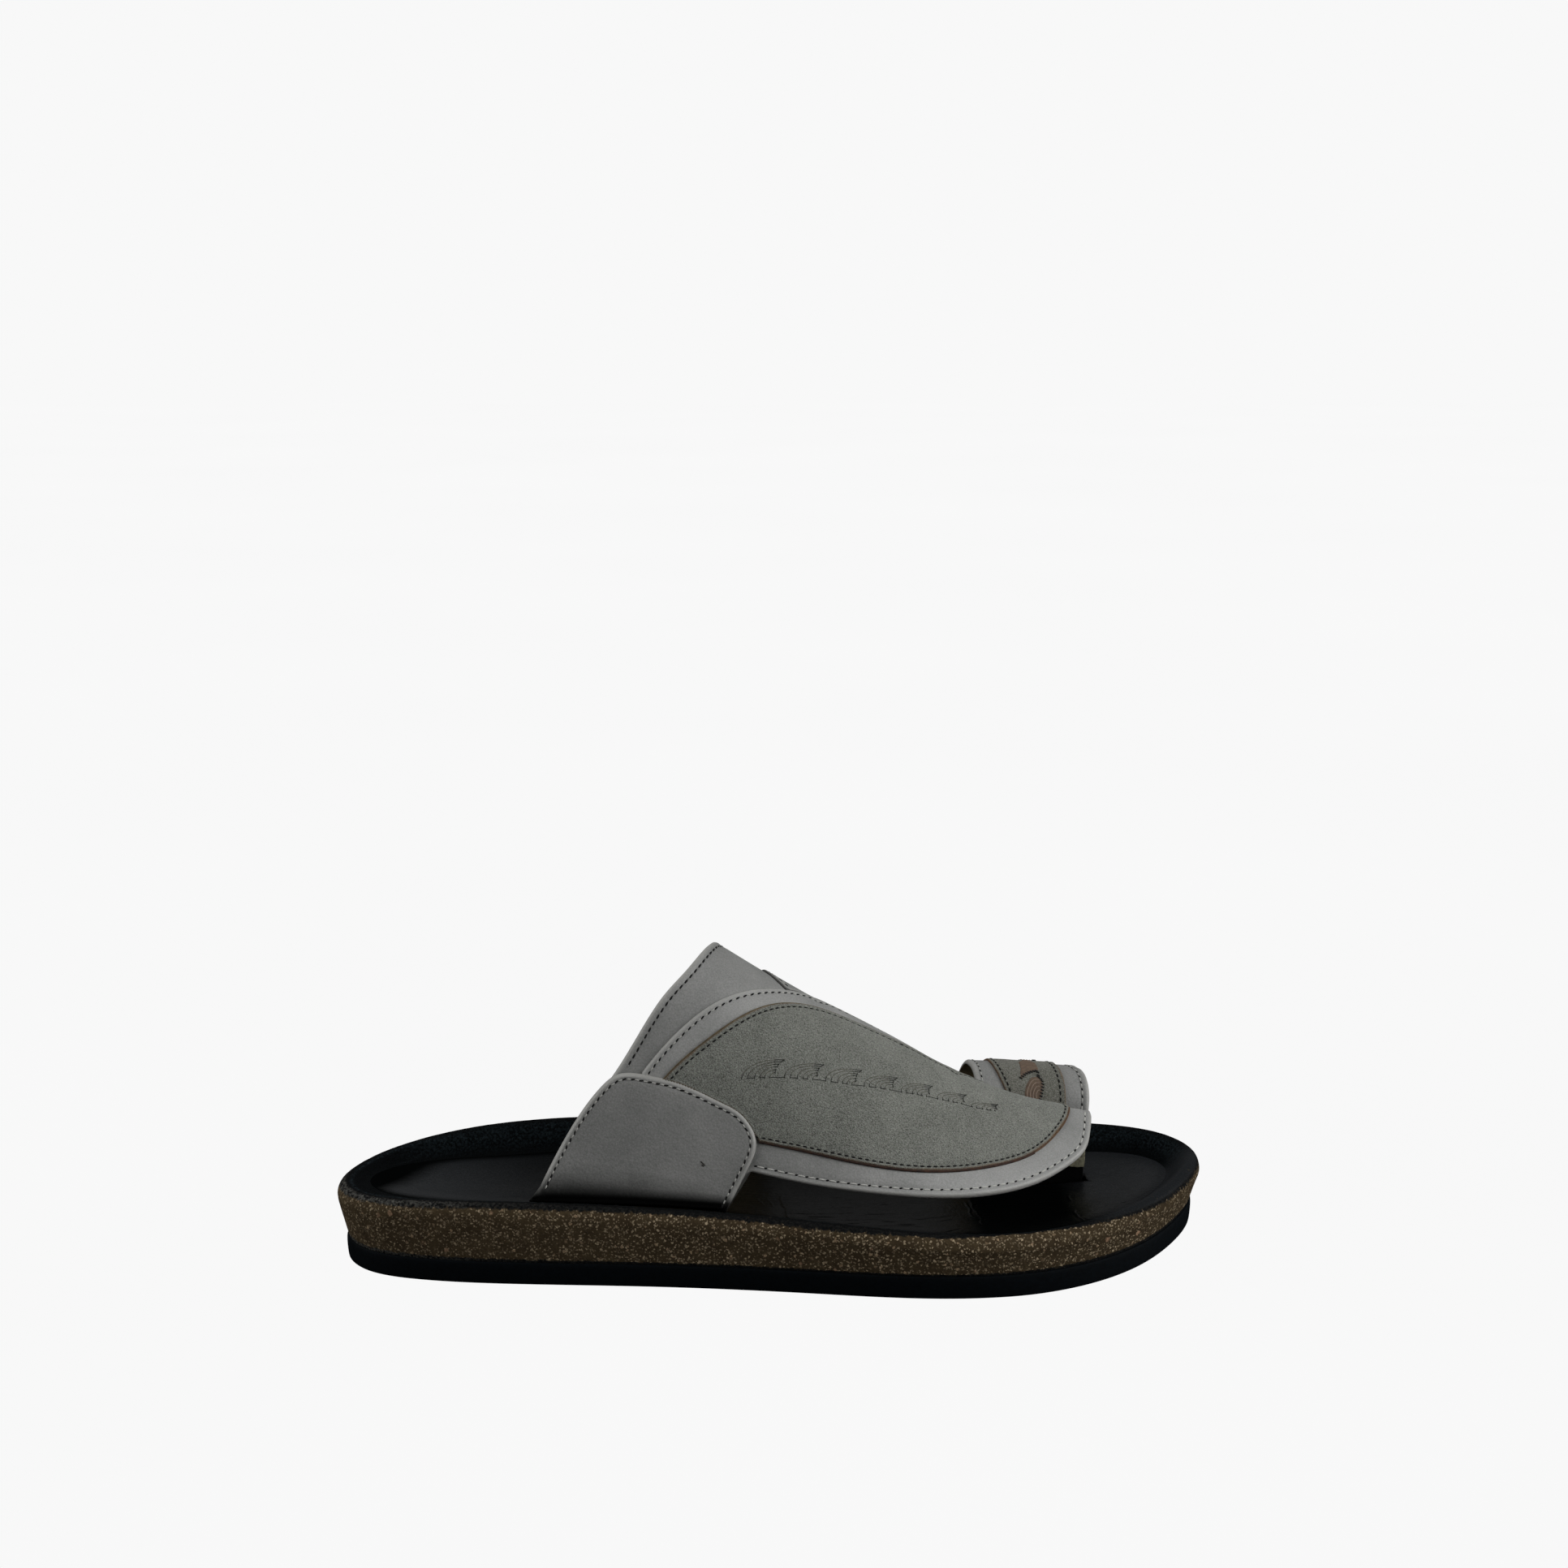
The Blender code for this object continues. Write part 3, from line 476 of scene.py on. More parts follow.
def loop_section(along, share):
    """Across and up on the section through vamp shoulder, toe post fold and toe loop."""
    crest = crest_up(along)
    foot = floor_up(along) - INSOLE_THICK + GAP / 3
    top = loop_crest_up(along)
    near = POST_ACROSS - POST_FOLD
    far = POST_ACROSS + POST_FOLD
    fold = POST_FOLD * FOLD_ROUNDING
    seat = medial_outline(along) - LOOP_SEAT_INSET
    shoulder = loop_shoulder(along)
    lines_and_arcs = (
        ((crest_across(along), crest), (near - VAMP_SHOULDER, crest), None),
        ((near - VAMP_SHOULDER, crest - VAMP_SHOULDER), (90, 0), VAMP_SHOULDER),
        ((near, crest - VAMP_SHOULDER), (near, foot + fold), None),
        ((near + fold, foot + fold), (180, 270), fold),
        ((near + fold, foot), (far - fold, foot), None),
        ((far - fold, foot + fold), (270, 360), fold),
        ((far, foot + fold), (far, top - shoulder), None),
        ((far + shoulder, top - shoulder), (180, 90), shoulder),
        ((far + shoulder, top), (seat - shoulder, top), None),
        ((seat - shoulder, top - shoulder), (90, 0), shoulder),
        ((seat, top - shoulder), (seat, last_level(along)), None),
    )
    left = share * LOOP_STEP_TOTAL
    across = np.zeros_like(left)
    up = np.zeros_like(left)
    begin = 0.0
    for (first, second, radius), steps in zip(lines_and_arcs, LOOP_STEPS):
        t = (left - begin) / steps
        if radius is None:
            y = first[0] + (second[0] - first[0]) * t
            z = first[1] + (second[1] - first[1]) * t
        else:
            angle = np.radians(second[0] + (second[1] - second[0]) * t)
            y = first[0] + radius * np.cos(angle)
            z = first[1] + radius * np.sin(angle)
        across = np.where(left >= begin, y, across)
        up = np.where(left >= begin, z, up)
        begin += steps
    return across, up


def last_point(along, girth):
    """Foot-side points of the upper."""
    along = np.asarray(along, float)
    girth = np.asarray(girth, float)
    lateral = girth < 0
    share = np.where(lateral, -girth / LATERAL_GIRTH, girth / MEDIAL_GIRTH)
    angle = (1 - share) * math.pi / 2
    c = np.maximum(np.cos(angle), 0.0)
    s = np.sin(angle)
    power = fullness(along)
    middle = crest_across(along)
    level = last_level(along)
    reach = (c ** power + np.abs(s) ** power) ** (-1 / power)
    half = np.where(lateral, -(lateral_half(along) + middle), medial_half(along) - middle)
    across = middle + half * reach * c
    up = level + (crest_up(along) - level) * reach * s
    blend = np.where(lateral, 0.0, smoothstep(*LOOP_BLEND, along))
    loop_across, loop_up = loop_section(along, np.clip(share, 0.0, 1.0))
    across = across * (1 - blend) + loop_across * blend
    up = up * (1 - blend) + loop_up * blend
    return np.stack((along, across, up), axis=-1)


def slopes(pattern):
    """Change of the foot-side point with along and with girth."""
    along, girth = np.asarray(pattern, float).T
    h = DERIVATIVE
    forward = (last_point(along + h, girth) - last_point(along - h, girth)) / (2 * h)
    around = (last_point(along, girth + h) - last_point(along, girth - h)) / (2 * h)
    return forward, around


def lift(pattern):
    """Directions away from the foot."""
    normal = np.cross(*slopes(pattern))
    return normal / np.linalg.norm(normal, axis=1)[:, None]


def surface(pattern, offset):
    """Points at distances from the foot side of the upper."""
    pattern = np.asarray(pattern, float)
    offset = np.broadcast_to(offset, len(pattern))
    return last_point(pattern[:, 0], pattern[:, 1]) + lift(pattern) * offset[:, None]


def inward(pattern, closed):
    """Pattern steps that go one millimetre to the left of a run, measured on the surface."""
    pattern = np.asarray(pattern, float)
    if closed:
        tangent = np.roll(pattern, -1, axis=0) - np.roll(pattern, 1, axis=0)
    else:
        tangent = np.gradient(pattern, axis=0)
    forward, around = slopes(pattern)
    e = np.sum(forward * forward, axis=1)
    f = np.sum(forward * around, axis=1)
    g = np.sum(around * around, axis=1)
    left = np.stack((-tangent[:, 1], tangent[:, 0]), axis=1)
    step = np.stack((g * left[:, 0] - f * left[:, 1], e * left[:, 1] - f * left[:, 0]), axis=1)
    size = np.sqrt(e * step[:, 0] ** 2 + 2 * f * step[:, 0] * step[:, 1] + g * step[:, 1] ** 2)
    return step / size[:, None]


def side_girth(along, up, side):
    """Girth of a point given by its height on the lateral (-1) or medial (1) side of the instep."""
    level = last_level(along)
    power = fullness(along)
    h = np.clip((up - level) / (crest_up(along) - level), 0.0, 1.0)
    u = (1 - h ** power) ** (1 / power)
    share = 1 - np.arctan2(h, u) / (math.pi / 2)
    return share * MEDIAL_GIRTH if side > 0 else -share * LATERAL_GIRTH


def loop_leg_girth(along, up):
    """Girth of a height on the straight medial leg of the toe loop."""
    leg = LOOP_STEPS[-1]
    top = loop_crest_up(along) - loop_shoulder(along)
    share = (top - up) / (top - last_level(along))
    return (LOOP_STEP_TOTAL - leg + leg * share) * LOOP_LINE


def seat_run(span, offset, side):
    """Lower edge of a wall between two places along, just above the midsole."""
    start, end = span
    along = np.linspace(start, end, round(abs(end - start) / EDGE_SPACING) + 1)
    girth = np.full(len(along), side * (MEDIAL_GIRTH if side > 0 else LATERAL_GIRTH) * SEAT_GUESS)
    for _ in range(3):
        across = last_point(along, girth)[:, 1] + side * offset
        up = wall_up(np.stack((along, across), axis=1)) + SEAT_CLEAR
        girth = np.where(along > LOOP_REGION, loop_leg_girth(along, up), side_girth(along, up, side))
    return np.stack((along, girth), axis=1)


def medial_span(span):
    """A seat's span on the medial side, which leads the lateral one."""
    return tuple(along + MEDIAL_LEAD for along in span)


def mirrored(points):
    """The same pattern points on the medial side."""
    points = np.array(list(points), float)
    points[:, 1] *= MIRROR
    points[:, 0] += MEDIAL_LEAD * smoothstep(0, LEAD_RUN, points[:, 1])
    return points


def loop_edge(table, start, end):
    """Points of an edge of the toe loop between two girths."""
    girths, alongs = zip(*table)
    stops = np.linspace(start, end, round(abs(end - start) / EDGE_SPACING) + 1)
    return np.stack((curve_through(girths, alongs)(stops), stops), axis=1)


def joined(*runs):
    """Closed outline from runs that follow each other, without doubled points."""
    outline = []
    for p in np.concatenate([np.asarray(run, float) for run in runs]):
        if not outline or math.dist(p, outline[-1]) > JOIN:
            outline.append(p)
    while math.dist(outline[0], outline[-1]) <= JOIN:
        outline.pop()
    return np.array(outline)


def upper_outline():
    """Outline of the leather wall, with collar, medial cut-out and toe loop."""
    lateral_seat = seat_run(STRAP_SEAT[::-1], WALL, -1)
    medial_seat = seat_run(medial_span(STRAP_SEAT), WALL, 1)
    loop_seat = seat_run(LOOP_SEAT, WALL, 1)
    collar = [lateral_seat[-1], *COLLAR_EDGE, *mirrored(COLLAR_EDGE[-2::-1]), medial_seat[0]]
    leaf = smooth_run(LEAF_BACK)
    return joined(
        lateral_seat,
        smooth_run(collar),
        medial_seat,
        smooth_run([medial_seat[-1], *MEDIAL_FRONT]),
        leaf[leaf[:, 0] > MEDIAL_FRONT[-1][0] + JOIN],
        loop_edge(LOOP_BACK, LEAF_BACK[-1][1], loop_seat[0][1]),
        loop_seat,
        loop_edge(LOOP_FRONT, loop_seat[-1][1], LEAF_LOWER[0][1]),
        smooth_run(LEAF_LOWER),
    )


def leaf_outline():
    """Outline of the leaf over the lateral side of instep and vamp."""
    count = round((LEAF_POST_RUN[1] - LEAF_POST_RUN[0]) / EDGE_SPACING)
    post = [(along, LEAF_POST_EDGE) for along in np.linspace(*LEAF_POST_RUN, count + 1)]
    return joined(
        seat_run(LEAF_SEAT[::-1], LEAF_TOP, -1),
        smooth_run(LEAF_UNDER_TAB),
        smooth_run(LEAF_BACK),
        loop_edge(LOOP_BACK, LEAF_BACK[-1][1], LEAF_POST_EDGE),
        post,
        loop_edge(LOOP_FRONT, LEAF_POST_EDGE, LEAF_LOWER[0][1]),
        smooth_run(LEAF_LOWER),
    )


def tab_edge(side):
    """Free edge of the lateral (-1) or medial (1) tab."""
    run = smooth_run(TAB_EDGE)
    return run if side < 0 else mirrored(run)


def tab_outline(side):
    """Outline of a tab, closed along its seat."""
    span = TAB_SEAT if side < 0 else medial_span(TAB_SEAT)
    seat = seat_run(span[::-1], TAB_TOP, side)
    run = tab_edge(side)
    lowest = np.abs(seat[:, 1]).min() - JOIN
    return joined(seat, run[np.abs(run[:, 1]) < lowest])


def nubuck_outline():
    """The panel runs a little way under the tab, whose edge it follows."""
    tab = smooth_run(TAB_EDGE)
    beside = tab - inward(tab, False) * 0.4
    beside = beside[(beside[:, 1] > NUBUCK_BACK[-1][1] + 0.6) & (beside[:, 0] > NUBUCK_BACK[0][0] + 1.5)]
    return joined(smooth_run(NUBUCK_BACK), beside[::-1])


def wing_outline():
    """Outline of the overlay on the medial side of the band."""
    leaf = smooth_run(LEAF_BACK)
    beside = leaf + inward(leaf, False) * 0.2
    beside = beside[(beside[:, 0] > WING_BESIDE_LEAF[0]) & (beside[:, 0] < WING_BESIDE_LEAF[1])]
    seat = seat_run(medial_span(LEAF_SEAT), LEAF_TOP, 1)
    return joined(
        seat,
        smooth_run([seat[-1], *MEDIAL_FRONT[:-1]]),
        beside[::-1],
        smooth_run(WING_BACK)[::-1],
        mirrored(LEAF_UNDER_TAB[::-1]),
    )


def strip_outline():
    """Outline of the nubuck strip over the toe loop."""
    start = STRIP_BACK[0][0]
    end = STRIP_BACK[-1][0]
    return joined(loop_edge(STRIP_BACK, start, end), loop_edge(STRIP_FRONT, end, start))


def inside(points, loop):
    """Which plane points lie inside a closed loop."""
    after = np.roll(loop, -1, axis=0)
    run = after - loop
    run_up = np.where(run[:, 1] == 0, 1.0, run[:, 1])

    def crossed(some):
        """Whether a line to one side of a point crosses the loop an odd number of times."""
        x, y = some[:, :1], some[:, 1:]
        spans = (loop[:, 1] > y) != (after[:, 1] > y)
        left = x < loop[:, 0] + (y - loop[:, 1]) / run_up * run[:, 0]
        return np.count_nonzero(spans & left, axis=1) % 2 == 1

    return in_chunks(np.asarray(points, float), crossed)


def least_distance(points, others):
    """Distance from each point to the nearest of the others."""
    return in_chunks(points, lambda some: gaps_between(some, others).min(axis=1))


def triangles(loops, points):
    """Triangles between an outer loop and its holes, through plane points that follow the loops."""
    everything = np.concatenate([*loops, points]) if len(points) else np.concatenate(loops)
    edges = []
    start = 0
    for loop in loops:
        edges += [(start + i, start + (i + 1) % len(loop)) for i in range(len(loop))]
        start += len(loop)
    _, _, faces, sources, _, _ = delaunay_2d_cdt([Vector(p) for p in everything], edges, [], 0, 1e-6)
    faces = np.array([[sources[i][0] for i in face] for face in faces])
    middle = everything[faces].mean(axis=1)
    keep = inside(middle, loops[0])
    for hole in loops[1:]:
        keep &= ~inside(middle, hole)
    faces = faces[keep]
    first, second, third = (everything[faces[:, k]] for k in range(3))
    one = second - first
    two = third - first
    turned = one[:, 0] * two[:, 1] - one[:, 1] * two[:, 0] < 0
    faces[turned] = faces[turned][:, ::-1]
    return everything, faces


def staggered(low, high, spacing):
    """Plane points on staggered rows inside a box."""
    points = []
    for row, y in enumerate(np.arange(low[1], high[1], spacing * 0.87)):
        x = np.arange(low[0] + spacing / 2 * (row % 2), high[0], spacing)
        points.append(np.stack((x, np.full(len(x), y)), axis=1))
    return np.concatenate(points)


def sheet_faces(faces, count):
    """Top, bottom and wall faces of a closed sheet whose upper points follow its lower ones."""
    directed = {(f[i], f[(i + 1) % 3]) for f in faces.tolist() for i in range(3)}
    rim = [(a, b) for a, b in sorted(directed) if (b, a) not in directed]
    top = (faces + count).tolist()
    bottom = faces[:, ::-1].tolist()
    walls = [(a, b, count + b, count + a) for a, b in rim]
    return top, bottom, walls


def make_piece(name, points, faces, materials, kinds=None, attributes=None):
    """Named mesh piece at the origin, with a material number for each face and point attributes."""
    mesh = bpy.data.meshes.new(name)
    mesh.from_pydata(placed(points).tolist(), [], faces)
    for material in materials:
        mesh.materials.append(material)
    if kinds is not None:
        mesh.polygons.foreach_set("material_index", np.asarray(kinds, np.int32))
    for key, values in (attributes or {}).items():
        mesh.attributes.new(key, "FLOAT", "POINT").data.foreach_set("value", np.asarray(values, np.float32))
    mesh.shade_smooth()
    piece = bpy.data.objects.new(name, mesh)
    bpy.context.scene.collection.objects.link(piece)
    return piece


# Distances from its edge at which a sheet gets extra points, and where every second of them will do
EDGE_RINGS = (0.2, 0.45, 0.8, 1.25, 1.8, 2.4, 3.1, 3.9, 4.8, 6.0)
SPARSE_RINGS = 3.5
# Edge distance that stands for the middle of a sheet
FAR_FROM_EDGE = 12.0
# Share of its thickness that a sheet keeps at a folded edge and at a cut one
FOLDED = 0.3
CUT = 0.85
# Girths between which the back of the upper is the back of the toe post
POST_BACK = (6.0, 50.0)
# Painted shade low on the straps, where the footbed's rim shades them: how far up it fades, and the height of
# its full black
SEAT_SHADE = (
    # along, height
    (60.0, 12.5),
    (83.0, 14.0),
    (102.0, 10.5),
    (117.0, 9.0),
    (131.0, 7.0),
)
SEAT_BLACK = 2.8


def between(table, places):
    """Straight-line values of a two-column table."""
    return np.interp(places, *zip(*table))


def seat_painted_shade(points):
    """Share of painted shade low on the straps, where the footbed's rim shades them."""
    height = points[:, 2] - wall_up(points[:, :2])
    reach = between(SEAT_SHADE, points[:, 0])
    return 1 - smoothstep(0, 1, (height - SEAT_BLACK) / (reach - SEAT_BLACK))


def panel(name, outline, span, finishes, relief, rounding=1.2, edge_share=FOLDED, painted_edge_shade=0.0):
    """Closed sheet of the upper with a rounded edge and a relief given by the distance from the edge.

    The span holds its distances from the foot. Finishes are those of the outer face, the back, the edge
    and, where there is a fourth, the back of the toe post.
    """
    base, top = span
    area = np.sum(outline[:, 0] * np.roll(outline[:, 1], -1) - outline[:, 1] * np.roll(outline[:, 0], -1))
    if area < 0:
        outline = outline[::-1]
    edge_points = last_point(*outline.T)
    step = inward(outline, True)
    rings = []
    distances = []
    for distance in EDGE_RINGS:
        ring = (outline + step * distance)[::1 if distance < SPARSE_RINGS else 2]
        ring = ring[inside(ring, outline)]
        ring = ring[least_distance(last_point(*ring.T), edge_points) > distance * 0.9 - 0.05]
        rings.append(ring)
        distances.append(np.full(len(ring), distance))
    lattice = staggered(outline.min(axis=0), outline.max(axis=0), LATTICE)
    lattice = lattice[inside(lattice, outline)]
    gaps = least_distance(last_point(*lattice.T), edge_points)
    lattice = lattice[gaps > EDGE_RINGS[-1] + 0.6 * LATTICE]
    pattern, faces = triangles([outline], np.concatenate([*rings, lattice]))
    far = np.full(len(lattice), FAR_FROM_EDGE)
    edge = np.concatenate([np.zeros(len(outline)), *distances, far])
    curl = np.sqrt(1 - (1 - np.clip(edge / rounding, 0, 1)) ** 2)
    share = edge_share + (1 - edge_share) * curl
    height = base + (top - base) * share + relief(edge)
    count = len(pattern)
    low = surface(pattern, base)
    high = surface(pattern, height)
    upper, lower, walls = sheet_faces(faces, count)
    kinds = np.repeat((0, 1, 2), (len(upper), len(lower), len(walls)))
    if len(finishes) > 3:
        girth = pattern[faces][:, :, 1].mean(axis=1)
        along = pattern[faces][:, :, 0].mean(axis=1)
        post = (girth > POST_BACK[0]) & (girth < POST_BACK[1]) & (along > LOOP_REGION)
        kinds[len(upper):len(upper) + len(lower)][post] = 3
    vertices = np.concatenate((low, high))
    # Painted shade: near black low on the straps, where the rim shades them, and along the edges of a sheet
    # given an edge shade.
    edge_painted_shading = painted_edge_shade * (1 - smoothstep(0.2, 0.9, edge))
    painted_shade = np.maximum(seat_painted_shade(vertices), np.concatenate((edge_painted_shading, edge_painted_shading)))
    return make_piece(
        name, vertices, upper + lower + walls, finishes, kinds,
        {"edge_mm": np.concatenate((np.full(count, FAR_FROM_EDGE), edge)), "painted_shade": painted_shade},
    )


def sewn(inset, groove=0.22, puff=0.12):
    """Relief of a stitched border: a groove under the stitches and a fuller edge beside them."""
    def relief(edge):
        """Heights at distances from the edge."""
        border = puff * bump_at(edge, inset * 0.45, inset * 0.35)
        return border - groove * bump_at(edge, inset, 0.6)
    return relief


# Finishes


def hex_colour(text):
    """Linear colour of an sRGB hex value."""
    parts = [int(text[i:i + 2], 16) / 255 for i in (1, 3, 5)]
    return (*(c / 12.92 if c <= 0.04045 else ((c + 0.055) / 1.055) ** 2.4 for c in parts), 1.0)


def fill_sockets(tree, node, sockets):
    """Gives a node's sockets values or other nodes' outputs."""
    for key, value in sockets.items():
        if isinstance(value, bpy.types.NodeSocket):
            tree.links.new(value, node.inputs[key])
        else:
            node.inputs[key].default_value = value


def add(tree, kind, sockets=None, **settings):
    """Adds a node with its settings and sockets."""
    made = tree.nodes.new(kind)
    for key, value in settings.items():
        setattr(made, key, value)
    fill_sockets(tree, made, sockets or {})
    return made


def per_mm(size):
    """Texture scale whose features are about this many millimetres wide."""
    return 1.0 / (size * MM)


def new_finish(name):
    """Material with its tree, shader and object coordinates."""
    material = bpy.data.materials.new(name)
    material.use_nodes = True
    tree = material.node_tree
    shader = tree.nodes["Principled BSDF"]
    place = add(tree, "ShaderNodeTexCoord").outputs["Object"]
    return material, tree, shader, place


def speckle(tree, place, size, detail, **more):
    """Noise whose features are about this many millimetres wide."""
    sockets = {"Vector": place, "Scale": per_mm(size), "Detail": detail, **more}
    return add(tree, "ShaderNodeTexNoise", sockets).outputs["Fac"]


def ranged(tree, value, start=(0.0, 1.0), end=(0.0, 1.0)):
    """A value carried from one range to another."""
    sockets = {"Value": value, "From Min": start[0], "From Max": start[1], "To Min": end[0], "To Max": end[1]}
    return add(tree, "ShaderNodeMapRange", sockets).outputs["Result"]


def worked(tree, operation, first, second):
    """Result of one operation on two values."""
    return add(tree, "ShaderNodeMath", {0: first, 1: second}, operation=operation).outputs["Value"]


def mixed(tree, share, first, second, **settings):
    """Colour between two colours, each a hex value or another node's output."""
    first, second = (hex_colour(c) if isinstance(c, str) else c for c in (first, second))
    sockets = {"Factor": share, "A": first, "B": second}
    return add(tree, "ShaderNodeMix", sockets, data_type="RGBA", **settings).outputs["Result"]


def painted(tree, name):
    """Value that a piece carries at its points."""
    return add(tree, "ShaderNodeAttribute", attribute_name=name).outputs["Fac"]


def raised(tree, height, strength, distance, **more):
    """Bump normal of a height; the distance is in metres."""
    sockets = {"Strength": strength, "Distance": distance, "Height": height, **more}
    return add(tree, "ShaderNodeBump", sockets).outputs["Normal"]


def grey_leather(name, dark, light):
    """Smooth corrected calf leather: satin, fine even grain, edges paled by wear and painted highlight,
    painted shade low down.

    Its specks and grain are drawn coarser than real pores, so that they show at the photo's scale.
    """
    material, tree, shader, place = new_finish(name)
    specks = worked(tree, "ADD", speckle(tree, place, 18, 3.0), speckle(tree, place, 0.46, 1.0))
    hide = mixed(tree, ranged(tree, specks, (0.7, 1.3)), dark, light)
    # Painted highlight, partly wear: near an edge the hide turns towards pale grey.
    edge_painted_shading = ranged(tree, painted(tree, "edge_mm"), (0.3, 1.7), (0.5, 0.0))
    wear_and_painted_light = mixed(tree, edge_painted_shading, hide, "#b0afaa")
    # Painted shade: where a piece marks it, the hide turns near black and loses its gloss.
    painted_shade = painted(tree, "painted_shade")
    grain = add(tree, "ShaderNodeTexVoronoi", {"Vector": place, "Scale": per_mm(0.8)}, feature="SMOOTH_F1")
    pore = speckle(tree, place, 2.0, 5.0)
    height = worked(tree, "ADD", grain.outputs["Distance"], pore)
    fill_sockets(tree, shader, {
        "Base Color": mixed(tree, painted_shade, wear_and_painted_light, "#030303"),
        "Normal": raised(tree, height, 0.45, 0.0002),
        "Roughness": ranged(tree, pore, end=(0.42, 0.6)),
        "Specular IOR Level": ranged(tree, painted_shade, end=(0.5, 0.05)),
        "IOR": 1.46,
    })
    return material


def grey_nubuck(name, dark, light):
    """Sanded nubuck: matte nap over a wormy grain, mottled in soft clouds and burnished at its cut edge.

    The grain is drawn coarser than a real nap, so that it shows at the photo's scale.
    """
    material, tree, shader, place = new_finish(name)
    cloud = speckle(tree, place, 10, 4.0, Roughness=0.55)
    grain = speckle(tree, place, 0.4, 0.0, Distortion=0.8)
    fine = worked(tree, "MULTIPLY", grain, 1.2)
    drift = worked(tree, "MULTIPLY", cloud, 0.5)
    nap = mixed(tree, ranged(tree, worked(tree, "ADD", drift, fine), (0.45, 1.25)), dark, light)
    reach = worked(tree, "SUBTRACT", painted(tree, "edge_mm"), speckle(tree, place, 7, 2.0))
    burnish = ranged(tree, reach, (-0.5, 0.1), (0.8, 0.0))
    fill_sockets(tree, shader, {
        "Base Color": mixed(tree, burnish, nap, "#5c452c"),
        "Normal": raised(tree, grain, 0.8, 0.0004),
        "Roughness": 0.9,
        "IOR": 1.4,
        "Sheen Weight": 0.08,
    })
    return material


def plain_finish(name, dark, light, size, roughness, depth, ior=1.45):
    """Finish of two close tones in a fine noise, with a matching bump."""
    material, tree, shader, place = new_finish(name)
    speck = speckle(tree, place, size, 4.0)
    fill_sockets(tree, shader, {
        "Base Color": mixed(tree, ranged(tree, speck, (0.3, 0.7)), dark, light),
        "Normal": raised(tree, speck, 0.4, depth * MM),
        "Roughness": roughness,
        "IOR": ior,
    })
    return material


CORK_FLECKS = (
    # size, share of the granules that are pale, reach of a granule in its cell, tint
    (0.75, 0.62, 0.46, "#a39379"),
    (1.1, 0.48, 0.42, "#ab9a80"),
    (1.8, 0.22, 0.36, "#998369"),
    (3.6, 0.08, 0.28, "#9c7e65"),
)


def footbed_cork():
    """Cork granules in dark foam: olive brown, densely flecked with tan, darker towards the toe end, its rim
    and cup dyed black, the cup darker still towards its foot and the heel end as painted shade.
    """
    material, tree, shader, place = new_finish("brown_cork_compound")
    colour = mixed(tree, ranged(tree, speckle(tree, place, 5, 5.0), (0.3, 0.7)), "#382e20", "#463b2a")
    wobble = add(tree, "ShaderNodeTexNoise", {"Vector": place, "Scale": per_mm(1.0), "Detail": 2.0})
    pull = add(tree, "ShaderNodeVectorMath", {0: wobble.outputs["Color"], "Scale": 0.0013}, operation="SCALE")
    bent = add(tree, "ShaderNodeVectorMath", {0: place, 1: pull.outputs["Vector"]}, operation="ADD")
    toeward = add(tree, "ShaderNodeSeparateXYZ", {"Vector": place}).outputs["X"]
    strength = ranged(tree, toeward, (-0.1, -0.02), (0.66, 1.0))
    lumps = []
    for size, share, reach, tint in CORK_FLECKS:
        sockets = {"Vector": bent.outputs["Vector"], "Scale": per_mm(size)}
        cell = add(tree, "ShaderNodeTexVoronoi", sockets).outputs
        pick = add(tree, "ShaderNodeSeparateColor", {"Color": cell["Color"]}).outputs
        chosen = worked(tree, "GREATER_THAN", pick["Red"], 1 - share)
        body = ranged(tree, cell["Distance"], (reach * 0.7, reach), (1.0, 0.0))
        fleck = worked(tree, "MULTIPLY", chosen, body)
        paler = worked(tree, "MULTIPLY", strength, pick["Green"])
        colour = mixed(tree, worked(tree, "MULTIPLY", fleck, paler), colour, tint)
        lumps.append(fleck)
    # Darker towards the toe end.
    toe_darkening = ranged(tree, toeward, (0.05, 0.12), (0.03, 0.22))
    colour = mixed(tree, toe_darkening, colour, "#0a0806")
    cup = painted(tree, "cup")
    polish = painted(tree, "polish")
    ragged = speckle(tree, place, 1.3, 3.0, Roughness=0.65)
    black = ranged(tree, worked(tree, "ADD", painted(tree, "stain"), ragged), (0.9, 1.1))
    nub = speckle(tree, place, 0.8, 2.0, Roughness=0.6)
    dust = ranged(tree, nub, (0.4, 0.72))
    top = mixed(tree, worked(tree, "MULTIPLY", dust, painted(tree, "dust")), "#060708", "#65645f")
    # Painted shade: the cup's wall darkens as the cup mark goes from one to two.
    gloom = ranged(tree, cup, (1.0, 2.0), (1.0, 0.0))
    shade = mixed(tree, worked(tree, "MULTIPLY", dust, gloom), "#020405", "#20292d")
    dye = mixed(tree, cup, top, shade, clamp_factor=True)
    lined = mixed(tree, polish, dye, "#1b1d1f")
    height = worked(tree, "ADD", worked(tree, "ADD", lumps[1], lumps[2]), nub)
    fill_sockets(tree, shader, {
        "Base Color": mixed(tree, black, colour, lined),
        "Normal": raised(tree, height, ranged(tree, polish, end=(0.8, 0.25)), 0.0003),
        "Roughness": ranged(tree, polish, end=(0.9, 0.45)),
        "IOR": 1.33,
        "Specular IOR Level": 0.15,
    })
    return material


